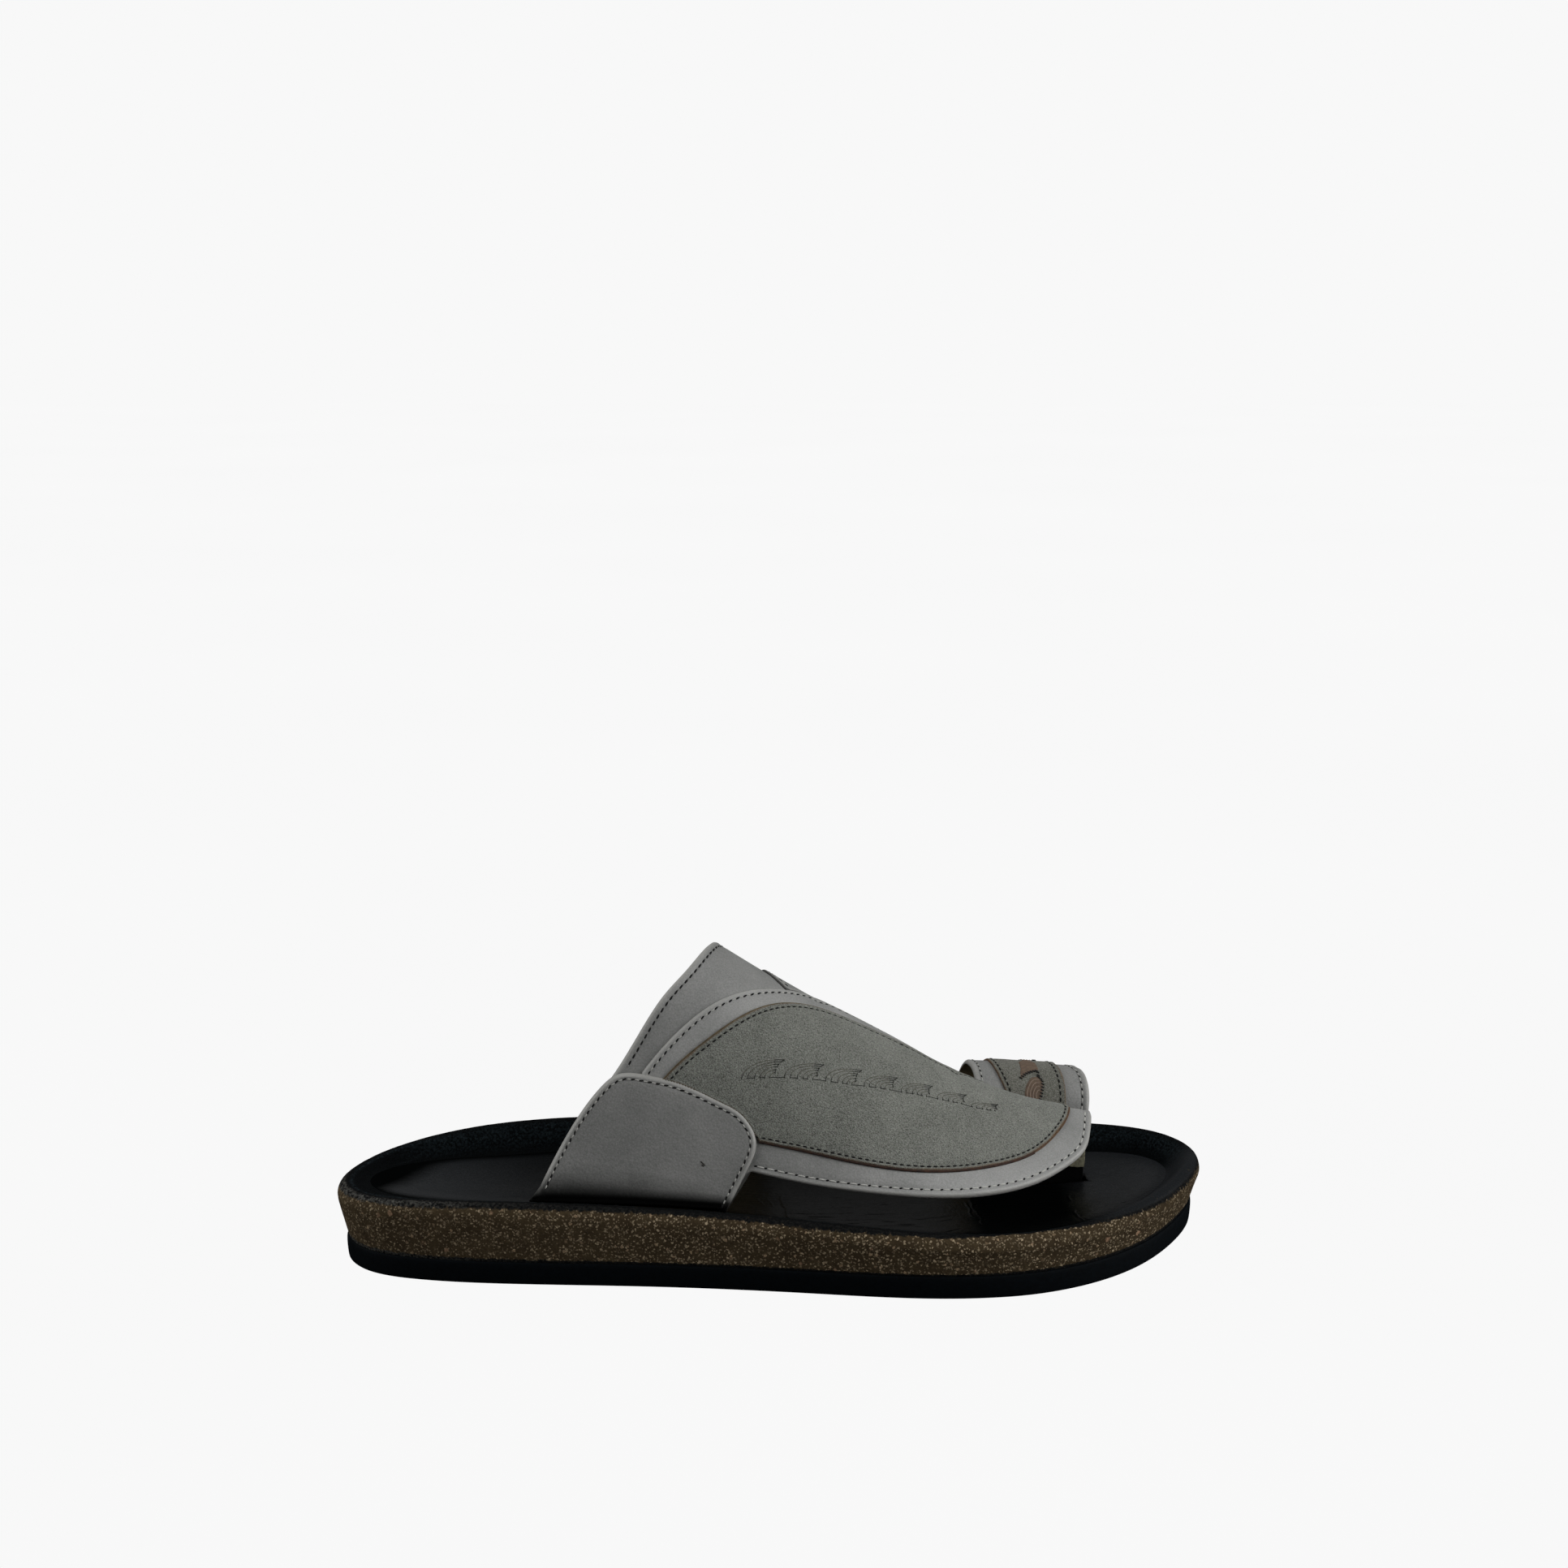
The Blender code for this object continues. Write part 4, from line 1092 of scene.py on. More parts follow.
def insole_leather():
    """Black lining leather: close grain drawn out along the foot, with an uneven soft sheen, and paler ground
    that is partly wear and partly painted sheen.
    """
    material, tree, shader, place = new_finish("black_lining_leather")
    patch = speckle(tree, place, 25, 5.0)
    colour = mixed(tree, patch, "#020303", "#060707")
    waves = raised(tree, speckle(tree, place, 10, 2.0), 0.5, 0.001)
    drawn = add(tree, "ShaderNodeMapping", {"Vector": place, "Scale": (0.07, 1.0, 1.0)}).outputs["Vector"]
    height = worked(tree, "ADD", speckle(tree, drawn, 0.9, 3.0), speckle(tree, place, 1.2, 4.0))
    fill_sockets(tree, shader, {
        # Painted sheen and shade: the paler ground, partly wear, lifts the black towards grey, and the dull
        # ground, partly painted shade under the leaf, loses its gloss.
        "Base Color": mixed(tree, painted(tree, "wear_and_painted_light"), colour, "#222426"),
        "Normal": raised(tree, height, 0.6, 0.0003, Normal=waves),
        "Roughness": ranged(tree, patch, end=(0.26, 0.4)),
        "Specular IOR Level": ranged(tree, painted(tree, "dull"), end=(0.5, 0.0)),
        "IOR": 1.48,
    })
    return material


# Satin grey hide of band and tabs, its edges paler from wear and painted highlight.
LEATHER = grey_leather("grey_calf_leather", "#717270", "#8b8b89")
# The same hide a shade paler, as painted light for the extra light that falls on the leaf.
LEAF_LEATHER_PAINTED_LIGHTER = grey_leather("calf_leather_painted_lighter", "#7b7c7a", "#949492")
# Matte greenish grey nap with a visible grain and soft clouds.
NUBUCK = grey_nubuck("grey_green_nubuck", "#4b4d47", "#878982")
# The same nap darker and warmer, over the big toe.
STRIP_NUBUCK = grey_nubuck("dark_strip_nubuck", "#43433b", "#797971")
# Warm brown line of a cut edge that was burnished.
RAW_EDGE = plain_finish("burnished_raw_edge", "#36271b", "#644a34", 1.4, 0.85, 0.15)
# Duller khaki line of the cut edge along the ridge.
BACK_EDGE = plain_finish("khaki_raw_edge", "#3f3829", "#665a41", 1.4, 0.85, 0.15)
# Dark rust bead at the lower edge: the edge's own rust brown, darkened as painted shadow under the
# overhanging nubuck.
EDGE_RUST_AND_SHADE = plain_finish("rust_edge_and_painted_shade", "#1d100a", "#3d2416", 1.8, 0.85, 0.1)
# Matte khaki inside of the band.
LINING = plain_finish("khaki_lining", "#74684e", "#8a7d60", 0.8, 0.9, 0.15)
# Black hollow between the two sides of the toe post: its lining is made near black, a painted shade under the
# leaf.
POST_LINING_PAINTED_SHADE = plain_finish("post_lining_painted_shade", "#020202", "#050505", 0.8, 0.95, 0.1, 1.15)
# Small khaki end of woven tape in that hollow.
WEBBING = plain_finish("khaki_webbing", "#4c4a3a", "#7d7a66", 0.9, 0.9, 0.2)
# Speckled brown side and black rim of the footbed.
CORK = footbed_cork()
# Nearly black ground inside the shoe, with a soft sheen.
INSOLE = insole_leather()
# Bluish black sole with hardly a highlight.
RUBBER = plain_finish("black_rubber", "#010305", "#03070b", 1.5, 0.75, 0.12, 1.15)
# Pale stitches that stand out on the grey leather.
THREAD = plain_finish("pale_grey_thread", "#8e8e89", "#aaaaa5", 0.4, 0.7, 0.05)
# Palest stitches, along the leaf's lower edge.
LEAF_THREAD = plain_finish("white_grey_thread", "#9d9d98", "#bbbbb6", 0.4, 0.7, 0.05)
# Stitches nearly as grey as the leather, along the collar.
COLLAR_THREAD = plain_finish("leather_grey_thread", "#6f706d", "#7d7d7a", 0.4, 0.7, 0.05)
# Stitches nearly as dull as the nap.
NUBUCK_THREAD = plain_finish("nubuck_grey_thread", "#62645d", "#74766d", 0.4, 0.85, 0.05)
# Dark open nicks in the tab's leather.
SCUFF = plain_finish("open_scuff", "#1c1b19", "#3c3935", 0.5, 0.9, 0.1)
# Near-black links and knots, a little coarser than real thread, to show at the photo's scale.
DARK_THREAD = plain_finish("dark_thread", "#0e0e0d", "#1b1b19", 0.4, 0.8, 0.05)
# Dull thread of the waves, just darker than the nap around it.
WAVE_THREAD = plain_finish("wave_thread", "#434139", "#57554c", 0.4, 0.85, 0.05)
# Dents where the needle went through, painted black as the shade inside them.
HOLE_PAINTED_SHADE = plain_finish("needle_hole_painted_shade", "#040404", "#090908", 0.4, 0.95, 0.05)
# Flat rose-brown filling of the fans.
ORNAMENT = plain_finish("rose_brown_applique", "#54463b", "#665648", 1.0, 0.9, 0.12)
# Paler arcs sewn into the fans.
ORNAMENT_THREAD = plain_finish("rose_brown_thread", "#76665a", "#877769", 0.4, 0.85, 0.05)


# Sole


def basis(count, places):
    """Weights that carry a smooth curve through a number of rings."""
    return np.stack([curve_through(range(count), row)(places) for row in np.eye(count)], axis=1)


def ring_points(inset, up):
    """Ring at insets from the rim outline and at heights."""
    return np.column_stack((RIM - RIM_OUT * inset[:, None], up))


def stacked(name, rings, bottom_up, top_up, materials, attributes=None):
    """Closed piece from a stack of rings whose two ends are filled."""
    count = len(rings[0])
    points = np.concatenate(rings)
    faces = []
    for k in range(len(rings) - 1):
        for i in range(count):
            j = (i + 1) % count
            faces.append((k * count + i, k * count + j, (k + 1) * count + j, (k + 1) * count + i))
    values = {key: list(value) for key, value in (attributes or {}).items()}
    for base, ring, height, is_top in (
        (0, rings[0], bottom_up, False),
        ((len(rings) - 1) * count, rings[-1], top_up, True),
    ):
        plan = ring[:, :2]
        lattice = staggered(plan.min(axis=0), plan.max(axis=0), 6.0)
        lattice = lattice[inside(lattice, plan)]
        lattice = lattice[least_distance(lattice, plan) > 3.0]
        _, fill = triangles([plan], lattice)
        numbers = np.concatenate((base + np.arange(count), len(points) + np.arange(len(lattice))))
        points = np.concatenate((points, np.column_stack((lattice, height(lattice)))))
        for value in values.values():
            value += [value[base]] * len(lattice)
        fill = numbers[fill]
        faces += (fill if is_top else fill[:, ::-1]).tolist()
    piece = make_piece(name, points, faces, materials, None, values)
    shape = bmesh.new()
    shape.from_mesh(piece.data)
    bmesh.ops.recalc_face_normals(shape, faces=shape.faces)
    shape.to_mesh(piece.data)
    shape.free()
    return piece


def flare():
    """How far the sole's foot stands inside the rim, all round."""
    return SIDE_FLARE + (END_FLARE - SIDE_FLARE) * RIM_OUT[:, 0] ** 2


def nubs(points, size, depth):
    """Small uneven lumps for a rough surface."""
    return np.array([noise.noise(Vector(p) / size) for p in points]) * depth


def build_outsole():
    """Rubber outsole with a rounded lower edge and toe spring."""
    lean = flare()
    rounding = 1 + (END_ROUNDING - 1) * RIM_OUT[:, 0] ** 2
    spring = spring_up(RIM[:, 0])
    coarse = [ring_points(lean + inset * rounding, spring + up) for inset, up in OUTSOLE_RINGS]
    weights = basis(len(coarse), np.linspace(0, len(coarse) - 1, 21))
    rings = list(np.einsum("ij,jkl->ikl", weights, np.array(coarse)))
    return stacked(
        "rubber_outsole", rings, lambda plan: spring_up(plan[:, 0]),
        lambda plan: spring_up(plan[:, 0]) + OUTSOLE_THICK, [RUBBER],
    )


DYE_EDGE = (
    # along, ring of the lateral wall at which the black dye of the rim stops
    (0.0, 3.9),
    (12.0, 4.2),
    (32.0, 3.9),
    (48.0, 4.05),
    (64.0, 4.0),
    (94.0, 4.2),
    (124.0, 4.4),
    (154.0, 3.95),
    (185.0, 4.5),
    (200.0, 4.8),
    (213.0, 5.8),
    (229.0, 5.6),
    (242.0, 4.85),
    (256.0, 4.1),
    (263.0, 3.75),
    (270.0, 3.45),
    (286.0, 3.5),
)
MEDIAL_DYE_EDGE = 4.0
RIM_DUST = (
    # along, share of grey dust on the lateral rim
    (0.0, 0.8),
    (20.0, 0.65),
    (36.0, 0.45),
    (50.0, 0.2),
    (64.0, 0.12),
    (94.0, 0.1),
    (124.0, 0.08),
    (286.0, 0.08),
)
MEDIAL_DUST = 0.05
FOOT_LINE = (
    # along, ring of the lateral wall up to which the cork's foot is blackened by glue
    (0.0, 1.05),
    (60.0, 1.0),
    (200.0, 1.0),
    (245.0, 1.08),
    (286.0, 1.12),
)
TOE_LINING = (
    # along and across over which the black lining comes to run up to the rim of the toe
    (240.0, 258.0),
    (16.0, -2.0),
)


def toe_lining(plan):
    """Share of smooth lining on the toe's wall and rim, on the lateral side."""
    return smoothstep(*TOE_LINING[0], plan[:, 0]) * (1 - smoothstep(*TOE_LINING[1][::-1], plan[:, 1]))


# Stain of the dyed rim beside its ragged edge, stain of the wholly black cup, and the mark of the cup's
# depth, which the cork darkens as painted shade
DYE_SHARE = 0.75
FULL_DYE = 1.2
DEEP_CUP = 2.0


def build_midsole():
    """Cork footbed: its flared side and rough rim, the wall inside and the floor under the insole."""
    lean = flare()
    rim = rim_up(RIM)
    foot = spring_up(RIM[:, 0]) + OUTSOLE_THICK + GAP
    coarse = []
    for flare_share, height_share, inset, drop in MIDSOLE_RINGS:
        coarse.append(ring_points(lean * flare_share + inset, foot + (rim - foot) * height_share - drop))
    places = np.linspace(0, len(coarse) - 1, 37)
    rings = list(np.einsum("ij,jkl->ikl", basis(len(coarse), places), np.array(coarse)))
    medial = smoothstep(-8.0, 8.0, RIM[:, 1])
    dye_edge = between(DYE_EDGE, RIM[:, 0]) * (1 - medial) + MEDIAL_DYE_EDGE * medial
    dust = between(RIM_DUST, RIM[:, 0]) * (1 - medial) + MEDIAL_DUST * medial
    foot_line = between(FOOT_LINE, RIM[:, 0])
    toe_end = toe_lining(RIM)
    paint = {"stain": [], "cup": [], "polish": [], "dust": []}

    def paint_ring(*values):
        """Adds the values of one ring, in the order of the paints."""
        for ring_values, value in zip(paint.values(), values):
            ring_values.append(np.broadcast_to(value, len(RIM)))

    for place in places:
        glued = DYE_SHARE * (1 - smoothstep(-0.12, 0.12, place - foot_line))
        dyed = DYE_SHARE * smoothstep(-0.8, 0.8, place - dye_edge) + glued
        lined = toe_end * smoothstep(0.5, 1.2, place - dye_edge)
        paint_ring(dyed, 0.0, lined, dust * (1 - smoothstep(5.3, 6.0, place)))
    for inset in np.linspace(WALL_TOP, WALL_FOOT, 17)[1:]:
        plan = RIM - RIM_OUT * inset
        rings.append(np.column_stack((plan, wall_up(plan))))
        # Painted shade: the cup grows darker towards its foot and towards the heel end.
        shaded = np.maximum(smoothstep(6.0, 10.5, inset), 1 - smoothstep(10.0, 40.0, RIM[:, 0]))
        paint_ring(FULL_DYE, smoothstep(WALL_TOP, WALL_TOP + 2.5, inset) * (1 + shaded), toe_end, 0.0)
    smooth_rim = 1 - 0.75 * smoothstep(225.0, 245.0, RIM[:, 0])
    for k, ring in enumerate(rings):
        silhouette = 1 - 0.85 * medial * (1 - smoothstep(38, 43, k))
        rough = float(smoothstep(26, 30, k) * (1 - smoothstep(46, 52, k))) * smooth_rim * silhouette
        ring[:, 2] += nubs(ring, 1.1, 0.28 * rough)
        ring[:, :2] += RIM_OUT * nubs(ring + 50.0, 1.3, 0.06 + 0.2 * rough)[:, None]
    step = RIM - RIM_OUT * (WALL_FOOT + 0.1)
    rings.append(np.column_stack((step, cork_up(step))))
    paint_ring(FULL_DYE, DEEP_CUP, toe_end, 0.0)
    return stacked(
        "cork_midsole", rings, lambda plan: spring_up(plan[:, 0]) + OUTSOLE_THICK + GAP, cork_up, [CORK],
        {key: np.concatenate(values) for key, values in paint.items()},
    )


INSOLE_CREASES = (
    # start along, start across, end along, end across, height, width
    (144.0, -29.6, 160.1, -24.6, -0.15, 0.3),
    (150.6, -32.1, 164.3, -27.8, -0.19, 0.3),
    (147.2, -36.2, 157.1, -35.3, -0.13, 0.3),
    (164.1, -38.3, 175.6, -30.3, -0.15, 0.3),
    (175.9, -30.2, 183.5, -29.6, -0.15, 0.3),
    (179.4, -33.9, 190.0, -31.8, -0.21, 0.3),
    (160.5, -8.1, 166.1, -7.3, -0.08, 0.3),
    (166.5, -8.8, 170.2, -9.1, -0.08, 0.3),
    (163.8, -17.1, 171.2, -16.8, -0.10, 0.3),
    (177.0, -13.8, 182.2, -12.5, -0.10, 0.3),
    (196.2, -41.8, 202.8, -35.4, -0.15, 0.3),
    (194.0, -28.2, 202.2, -25.4, -0.10, 0.3),
    (146.0, -6.3, 147.7, -37.7, 0.20, 0.36),
    (141.8, -10.1, 143.3, -21.8, 0.15, 0.36),
    (137.8, -11.4, 140.0, -19.5, 0.15, 0.36),
    (206.3, -6.7, 207.6, -24.0, 0.25, 0.36),
    (208.1, -4.4, 210.1, -33.6, 0.25, 0.36),
    (241.2, -4.4, 241.2, -13.2, 0.23, 0.36),
    (240.3, -18.9, 240.9, -37.8, 0.25, 0.36),
    (246.0, -2.0, 258.0, -14.0, -0.08, 0.3),
    (252.0, 14.0, 262.0, 2.0, -0.08, 0.3),
    (150.0, -34.4, 170.0, -30.6, -0.1, 0.28),
    (152.0, -26.2, 172.5, -21.4, -0.1, 0.28),
    (158.0, -33.0, 181.0, -27.2, -0.1, 0.28),
    (167.0, -24.0, 187.0, -20.4, -0.09, 0.28),
    (172.0, -36.4, 193.0, -34.6, -0.12, 0.28),
    (184.0, -26.6, 203.0, -22.0, -0.1, 0.28),
    (244.0, -24.0, 262.0, -20.0, -0.08, 0.3),
    (248.0, -8.0, 252.0, -26.0, -0.1, 0.3),
    (256.0, 6.0, 261.0, -14.0, -0.1, 0.3),
)
# Paler ground of the heel, partly wear and partly painted sheen: it begins on a slanting line, given by a
# plan point and the way across the line.
HEEL_WEAR_SHEEN_START = np.array((15.6, -13.0))
HEEL_WEAR_SHEEN_WAY = np.array((0.874, -0.486))
HEEL_WEAR_SHEEN_RUN = (-3.0, 6.0)
HEEL_WEAR_SHEEN_FADE = (22.0, 95.0)
# Paler ground of the toe, partly wear and partly painted sheen, along and across, and the dull ground under
# the leaf's front, which loses its sheen as painted shade
TOE_WEAR_SHEEN = ((238.0, 254.0), (-32.0, 0.0))
SHADE_UNDER_LEAF_START = (206.0, 209.5)
SHADE_UNDER_LEAF_END = (238.0, 242.0)
SHADE_UNDER_LEAF_ACROSS = (2.0, 12.0)
CREASE_TAPER = 5.0
CREASE_ROWS = (-1.2, -0.8, -0.5, -0.25, 0.0, 0.25, 0.5, 0.8, 1.2)
CREASE_SPACING = 0.6


def crease_frame(crease):
    """Start, direction, side direction and length of a crease in plan."""
    start = np.array(crease[:2])
    run = np.array(crease[2:4]) - start
    size = np.linalg.norm(run)
    return start, run / size, np.array((-run[1], run[0])) / size, size


def crease_wander(crease, along):
    """How far a crease strays from its straight line."""
    return 0.35 * np.sin(along / 2.6 + crease[0]) + 0.2 * np.sin(along / 1.1 + crease[1])


def crease_points():
    """Plan points in rows beside every crease, to carry its narrow shape."""
    points = []
    for crease in INSOLE_CREASES:
        start, run, side, size = crease_frame(crease)
        along = np.linspace(0, size, max(3, round(size / CREASE_SPACING)))
        for row in CREASE_ROWS:
            points.append(start + along[:, None] * run + (row + crease_wander(crease, along))[:, None] * side)
    return np.concatenate(points)


def crease_relief(plan):
    """Folds pressed into the insole by the foot."""
    total = np.zeros(len(plan))
    for crease in INSOLE_CREASES:
        start, run, side, size = crease_frame(crease)
        height, width = crease[4:]
        along = (plan - start) @ run
        aside = (plan - start) @ side - crease_wander(crease, along)
        taper = min(CREASE_TAPER, size * 0.35)
        ends = smoothstep(0, taper, along) * (1 - smoothstep(size - taper, size, along))
        shape = bump_at(aside, 0.0, width) - 0.4 * bump_at(aside, 2.0 * width, width)
        total += height * ends * shape
    return total


def insole_wear_and_sheen(plan, inset):
    """Shares of the paler ground, partly wear and partly painted sheen, and of the dull ground, which loses
    its sheen, under the leaf as painted shade.
    """
    along, across = plan.T
    lining = toe_lining(plan)
    by_edge = 1 - smoothstep(INSOLE_EDGE + 0.5, INSOLE_EDGE + 7.0, inset)
    toe = smoothstep(*TOE_WEAR_SHEEN[0], along) * (0.1 + 0.9 * smoothstep(*TOE_WEAR_SHEEN[1], across))
    heel_wear_and_sheen = smoothstep(*HEEL_WEAR_SHEEN_RUN, (plan - HEEL_WEAR_SHEEN_START) @ HEEL_WEAR_SHEEN_WAY)
    off_wall = smoothstep(INSOLE_EDGE, INSOLE_EDGE + 5.0, inset)
    heel = heel_wear_and_sheen * (1 - smoothstep(*HEEL_WEAR_SHEEN_FADE, along)) * off_wall
    # Paler ground, partly wear and partly painted sheen, at the toe, the heel and up the toe's lining.
    wear_and_painted_light = np.maximum(np.maximum(toe, heel), 0.6 * lining * by_edge)
    # Painted shade: under the leaf's front the insole loses its sheen.
    shade_under_leaf = smoothstep(*SHADE_UNDER_LEAF_START, along) * (1 - smoothstep(*SHADE_UNDER_LEAF_END, along))
    shade_under_leaf = 0.85 * shade_under_leaf * (1 - smoothstep(*SHADE_UNDER_LEAF_ACROSS, across))
    dull = np.maximum(by_edge * (1 - 0.16 * lining), shade_under_leaf)
    return wear_and_painted_light, np.maximum(dull, 1 - heel_wear_and_sheen)


def build_insole():
    """Creased black insole with the slot through which the toe post goes down."""
    outline = RIM - RIM_OUT * INSOLE_EDGE
    slot_along = np.linspace(LOOP_BACK[1][1] - 0.8, LOOP_FRONT[1][1] + 0.8, 40)
    near = POST_ACROSS - POST_FOLD - 0.5
    far = POST_ACROSS + POST_FOLD + 0.5
    slot = np.array([(s, near) for s in slot_along] + [(s, far) for s in slot_along[::-1]])
    edges = np.concatenate((outline, slot))
    lattice = staggered(outline.min(axis=0), outline.max(axis=0), 1.25)
    lattice, folds = (p[inside(p, outline) & ~inside(p, slot)] for p in (lattice, crease_points()))
    lattice = lattice[least_distance(lattice, edges) > 1.0]
    folds = folds[least_distance(folds, edges) > 0.8]
    lattice = lattice[least_distance(lattice, folds) > 0.9]
    support = RIM - RIM_OUT * (INSOLE_EDGE + 0.2)
    points, faces = triangles([outline, slot], np.concatenate((lattice, folds, support)))
    inset = inset_from_rim(points)[0]
    top = np.maximum(foot_up(points, inset), wall_up(points)) + 0.03 + crease_relief(points)
    low = np.column_stack((points, foot_up(points, inset) - INSOLE_THICK))
    vertices = np.concatenate((low, np.column_stack((points, top))))
    upper, lower, walls = sheet_faces(faces, len(points))
    wear_and_painted_light, dull = insole_wear_and_sheen(points, inset)
    return make_piece(
        "leather_insole", vertices, upper + lower + walls, [INSOLE], None,
        {"wear_and_painted_light": np.tile(wear_and_painted_light, 2), "dull": np.tile(dull, 2)},
    )


# Stitches and embroidery


def sewing_path(run, inset, offset, side=1):
    """Points and lifts of a row of stitches beside an edge, on the left (1) or right (-1) of its run."""
    run = np.asarray(run, float)
    path = run + inward(run, False) * inset * side
    return surface(path, offset), lift(path)


def line_mesh(name, paths):
    """Mesh of open lines that carry the direction away from the foot."""
    mesh = bpy.data.meshes.new(name)
    points = np.concatenate([points for points, _ in paths])
    edges = []
    start = 0
    for path, _ in paths:
        edges += [(start + i, start + i + 1) for i in range(len(path) - 1)]
        start += len(path)
    mesh.from_pydata(placed(points).tolist(), edges, [])
    lifts = np.concatenate([lifts for _, lifts in paths]).astype(np.float32)
    mesh.attributes.new("lift", "FLOAT_VECTOR", "POINT").data.foreach_set("vector", lifts.ravel())
    return mesh


def new_tree(name, inputs):
    """Geometry tree with a geometry input and named sizes."""
    tree = bpy.data.node_groups.new(name, "GeometryNodeTree")
    tree.interface.new_socket("Geometry", in_out="INPUT", socket_type="NodeSocketGeometry")
    for key, kind in inputs.items():
        tree.interface.new_socket(key, in_out="INPUT", socket_type=kind)
    tree.interface.new_socket("Geometry", in_out="OUTPUT", socket_type="NodeSocketGeometry")
    return tree, add(tree, "NodeGroupInput").outputs


def even_lines(tree, given, length):
    """Lines resampled to even steps."""
    curve = add(tree, "GeometryNodeMeshToCurve", {"Mesh": given["Geometry"]}).outputs["Curve"]
    sockets = {"Curve": curve, "Length": given[length]}
    return add(tree, "GeometryNodeResampleCurve", sockets, mode="LENGTH").outputs["Curve"]


def give_out(tree, given, geometry):
    """Ends a tree with real, smooth geometry in the given material."""
    real = add(tree, "GeometryNodeRealizeInstances", {"Geometry": geometry}).outputs["Geometry"]
    smooth = add(tree, "GeometryNodeSetShadeSmooth", {"Geometry": real}).outputs["Geometry"]
    sockets = {"Geometry": smooth, "Material": given["Material"]}
    final = add(tree, "GeometryNodeSetMaterial", sockets).outputs["Geometry"]
    add(tree, "NodeGroupOutput", {"Geometry": final})
    return tree


def stitch_tree():
    """Row of stitches: a small rounded body at every pitch along lines, turned to line and surface."""
    tree, given = new_tree("stitch_row", {
        "Pitch": "NodeSocketFloat", "Size": "NodeSocketVector", "Shift": "NodeSocketVector",
        "Turn": "NodeSocketVector", "Material": "NodeSocketMaterial",
    })
    tangent = add(tree, "GeometryNodeInputTangent").outputs["Tangent"]
    lifted = add(tree, "GeometryNodeInputNamedAttribute", {"Name": "lift"}, data_type="FLOAT_VECTOR")
    along = add(tree, "FunctionNodeAlignRotationToVector", {"Vector": tangent}, axis="X")
    turned = add(
        tree, "FunctionNodeAlignRotationToVector",
        {"Rotation": along.outputs["Rotation"], "Vector": lifted.outputs["Attribute"]},
        axis="Z", pivot_axis="X",
    )
    ball = add(tree, "GeometryNodeMeshUVSphere", {"Segments": 8, "Rings": 5, "Radius": 0.5})
    body = add(tree, "GeometryNodeTransform", {
        "Geometry": ball.outputs["Mesh"], "Translation": given["Shift"], "Rotation": given["Turn"],
        "Scale": given["Size"],
    })
    rows = add(tree, "GeometryNodeInstanceOnPoints", {
        "Points": even_lines(tree, given, "Pitch"), "Instance": body.outputs["Geometry"],
        "Rotation": turned.outputs["Rotation"],
    })
    return give_out(tree, given, rows.outputs["Instances"])


def thread_tree():
    """Thread laid along lines as a thin round cord."""
    tree, given = new_tree("laid_thread", {
        "Spacing": "NodeSocketFloat", "Radius": "NodeSocketFloat", "Material": "NodeSocketMaterial",
    })
    profile = add(tree, "GeometryNodeCurvePrimitiveCircle", {"Resolution": 6, "Radius": given["Radius"]})
    cord = add(tree, "GeometryNodeCurveToMesh", {
        "Curve": even_lines(tree, given, "Spacing"), "Profile Curve": profile.outputs["Curve"],
        "Fill Caps": True,
    })
    return give_out(tree, given, cord.outputs["Mesh"])


STITCH_TREE = stitch_tree()
THREAD_TREE = thread_tree()


def grown(name, tree, paths, sizes):
    """Plain mesh piece that a geometry tree makes along lines."""
    source = bpy.data.objects.new(name + "_lines", line_mesh(name + "_lines", paths))
    bpy.context.scene.collection.objects.link(source)
    modifier = source.modifiers.new("tree", "NODES")
    modifier.node_group = tree
    names = {item.name: item.identifier for item in tree.interface.items_tree if item.in_out == "INPUT"}
    for key, value in sizes.items():
        modifier[names[key]] = value
    source.update_tag()
    graph = bpy.context.evaluated_depsgraph_get()
    mesh = bpy.data.meshes.new_from_object(source.evaluated_get(graph))
    mesh.name = name
    piece = bpy.data.objects.new(name, mesh)
    bpy.context.scene.collection.objects.link(piece)
    bpy.data.objects.remove(source, do_unlink=True)
    return piece


def stitched(name, paths, pitch, finish, thread, hole, slant):
    """Threads and needle holes of rows with one pitch; thread and hole are lengths and widths."""
    made = []
    for suffix, size, shift, turn, material in (
        ("thread", (*thread, 0.5), (0.0, 0.0, 0.06), 0.0, finish),
        ("holes", (*hole, 0.34), (pitch / 2, 0.0, 0.02), slant, HOLE_PAINTED_SHADE),
    ):
        made.append(grown(f"{name}_{suffix}", STITCH_TREE, paths, {
            "Pitch": pitch * MM,
            "Size": [v * MM for v in size],
            "Shift": [v * MM for v in shift],
            "Turn": [0.0, 0.0, math.radians(turn)],
            "Material": material,
        }))
    return made


MOTIFS = (
    # left along, left girth, right along, right girth, tip along, tip girth
    (132.8, -46.0, 141.8, -42.6, 145.8, -36.4),
    (146.0, -41.0, 155.0, -37.9, 158.0, -32.1),
    (158.7, -36.7, 167.1, -34.1, 169.9, -27.8),
    (170.7, -32.7, 179.0, -29.7, 181.3, -23.7),
    (182.5, -28.5, 190.9, -24.8, 192.7, -18.9),
    (194.3, -23.4, 202.6, -19.6, 204.2, -13.9),
    (206.0, -18.8, 214.2, -15.7, 215.3, -11.4),
)
# Feet of the nested arcs before the right end of the base, and their tips beside it and above it, all as
# shares of the base and of the height.
WAVE_FEET = (1.0, 0.8, 0.56, 0.37, 0.21, 0.03)
WAVE_TIPS = ((0.36, 1.0), (0.27, 0.87), (0.2, 0.73), (0.16, 0.58), (0.13, 0.42), (0.13, 0.26))
WAVE_LEAN = 0.36


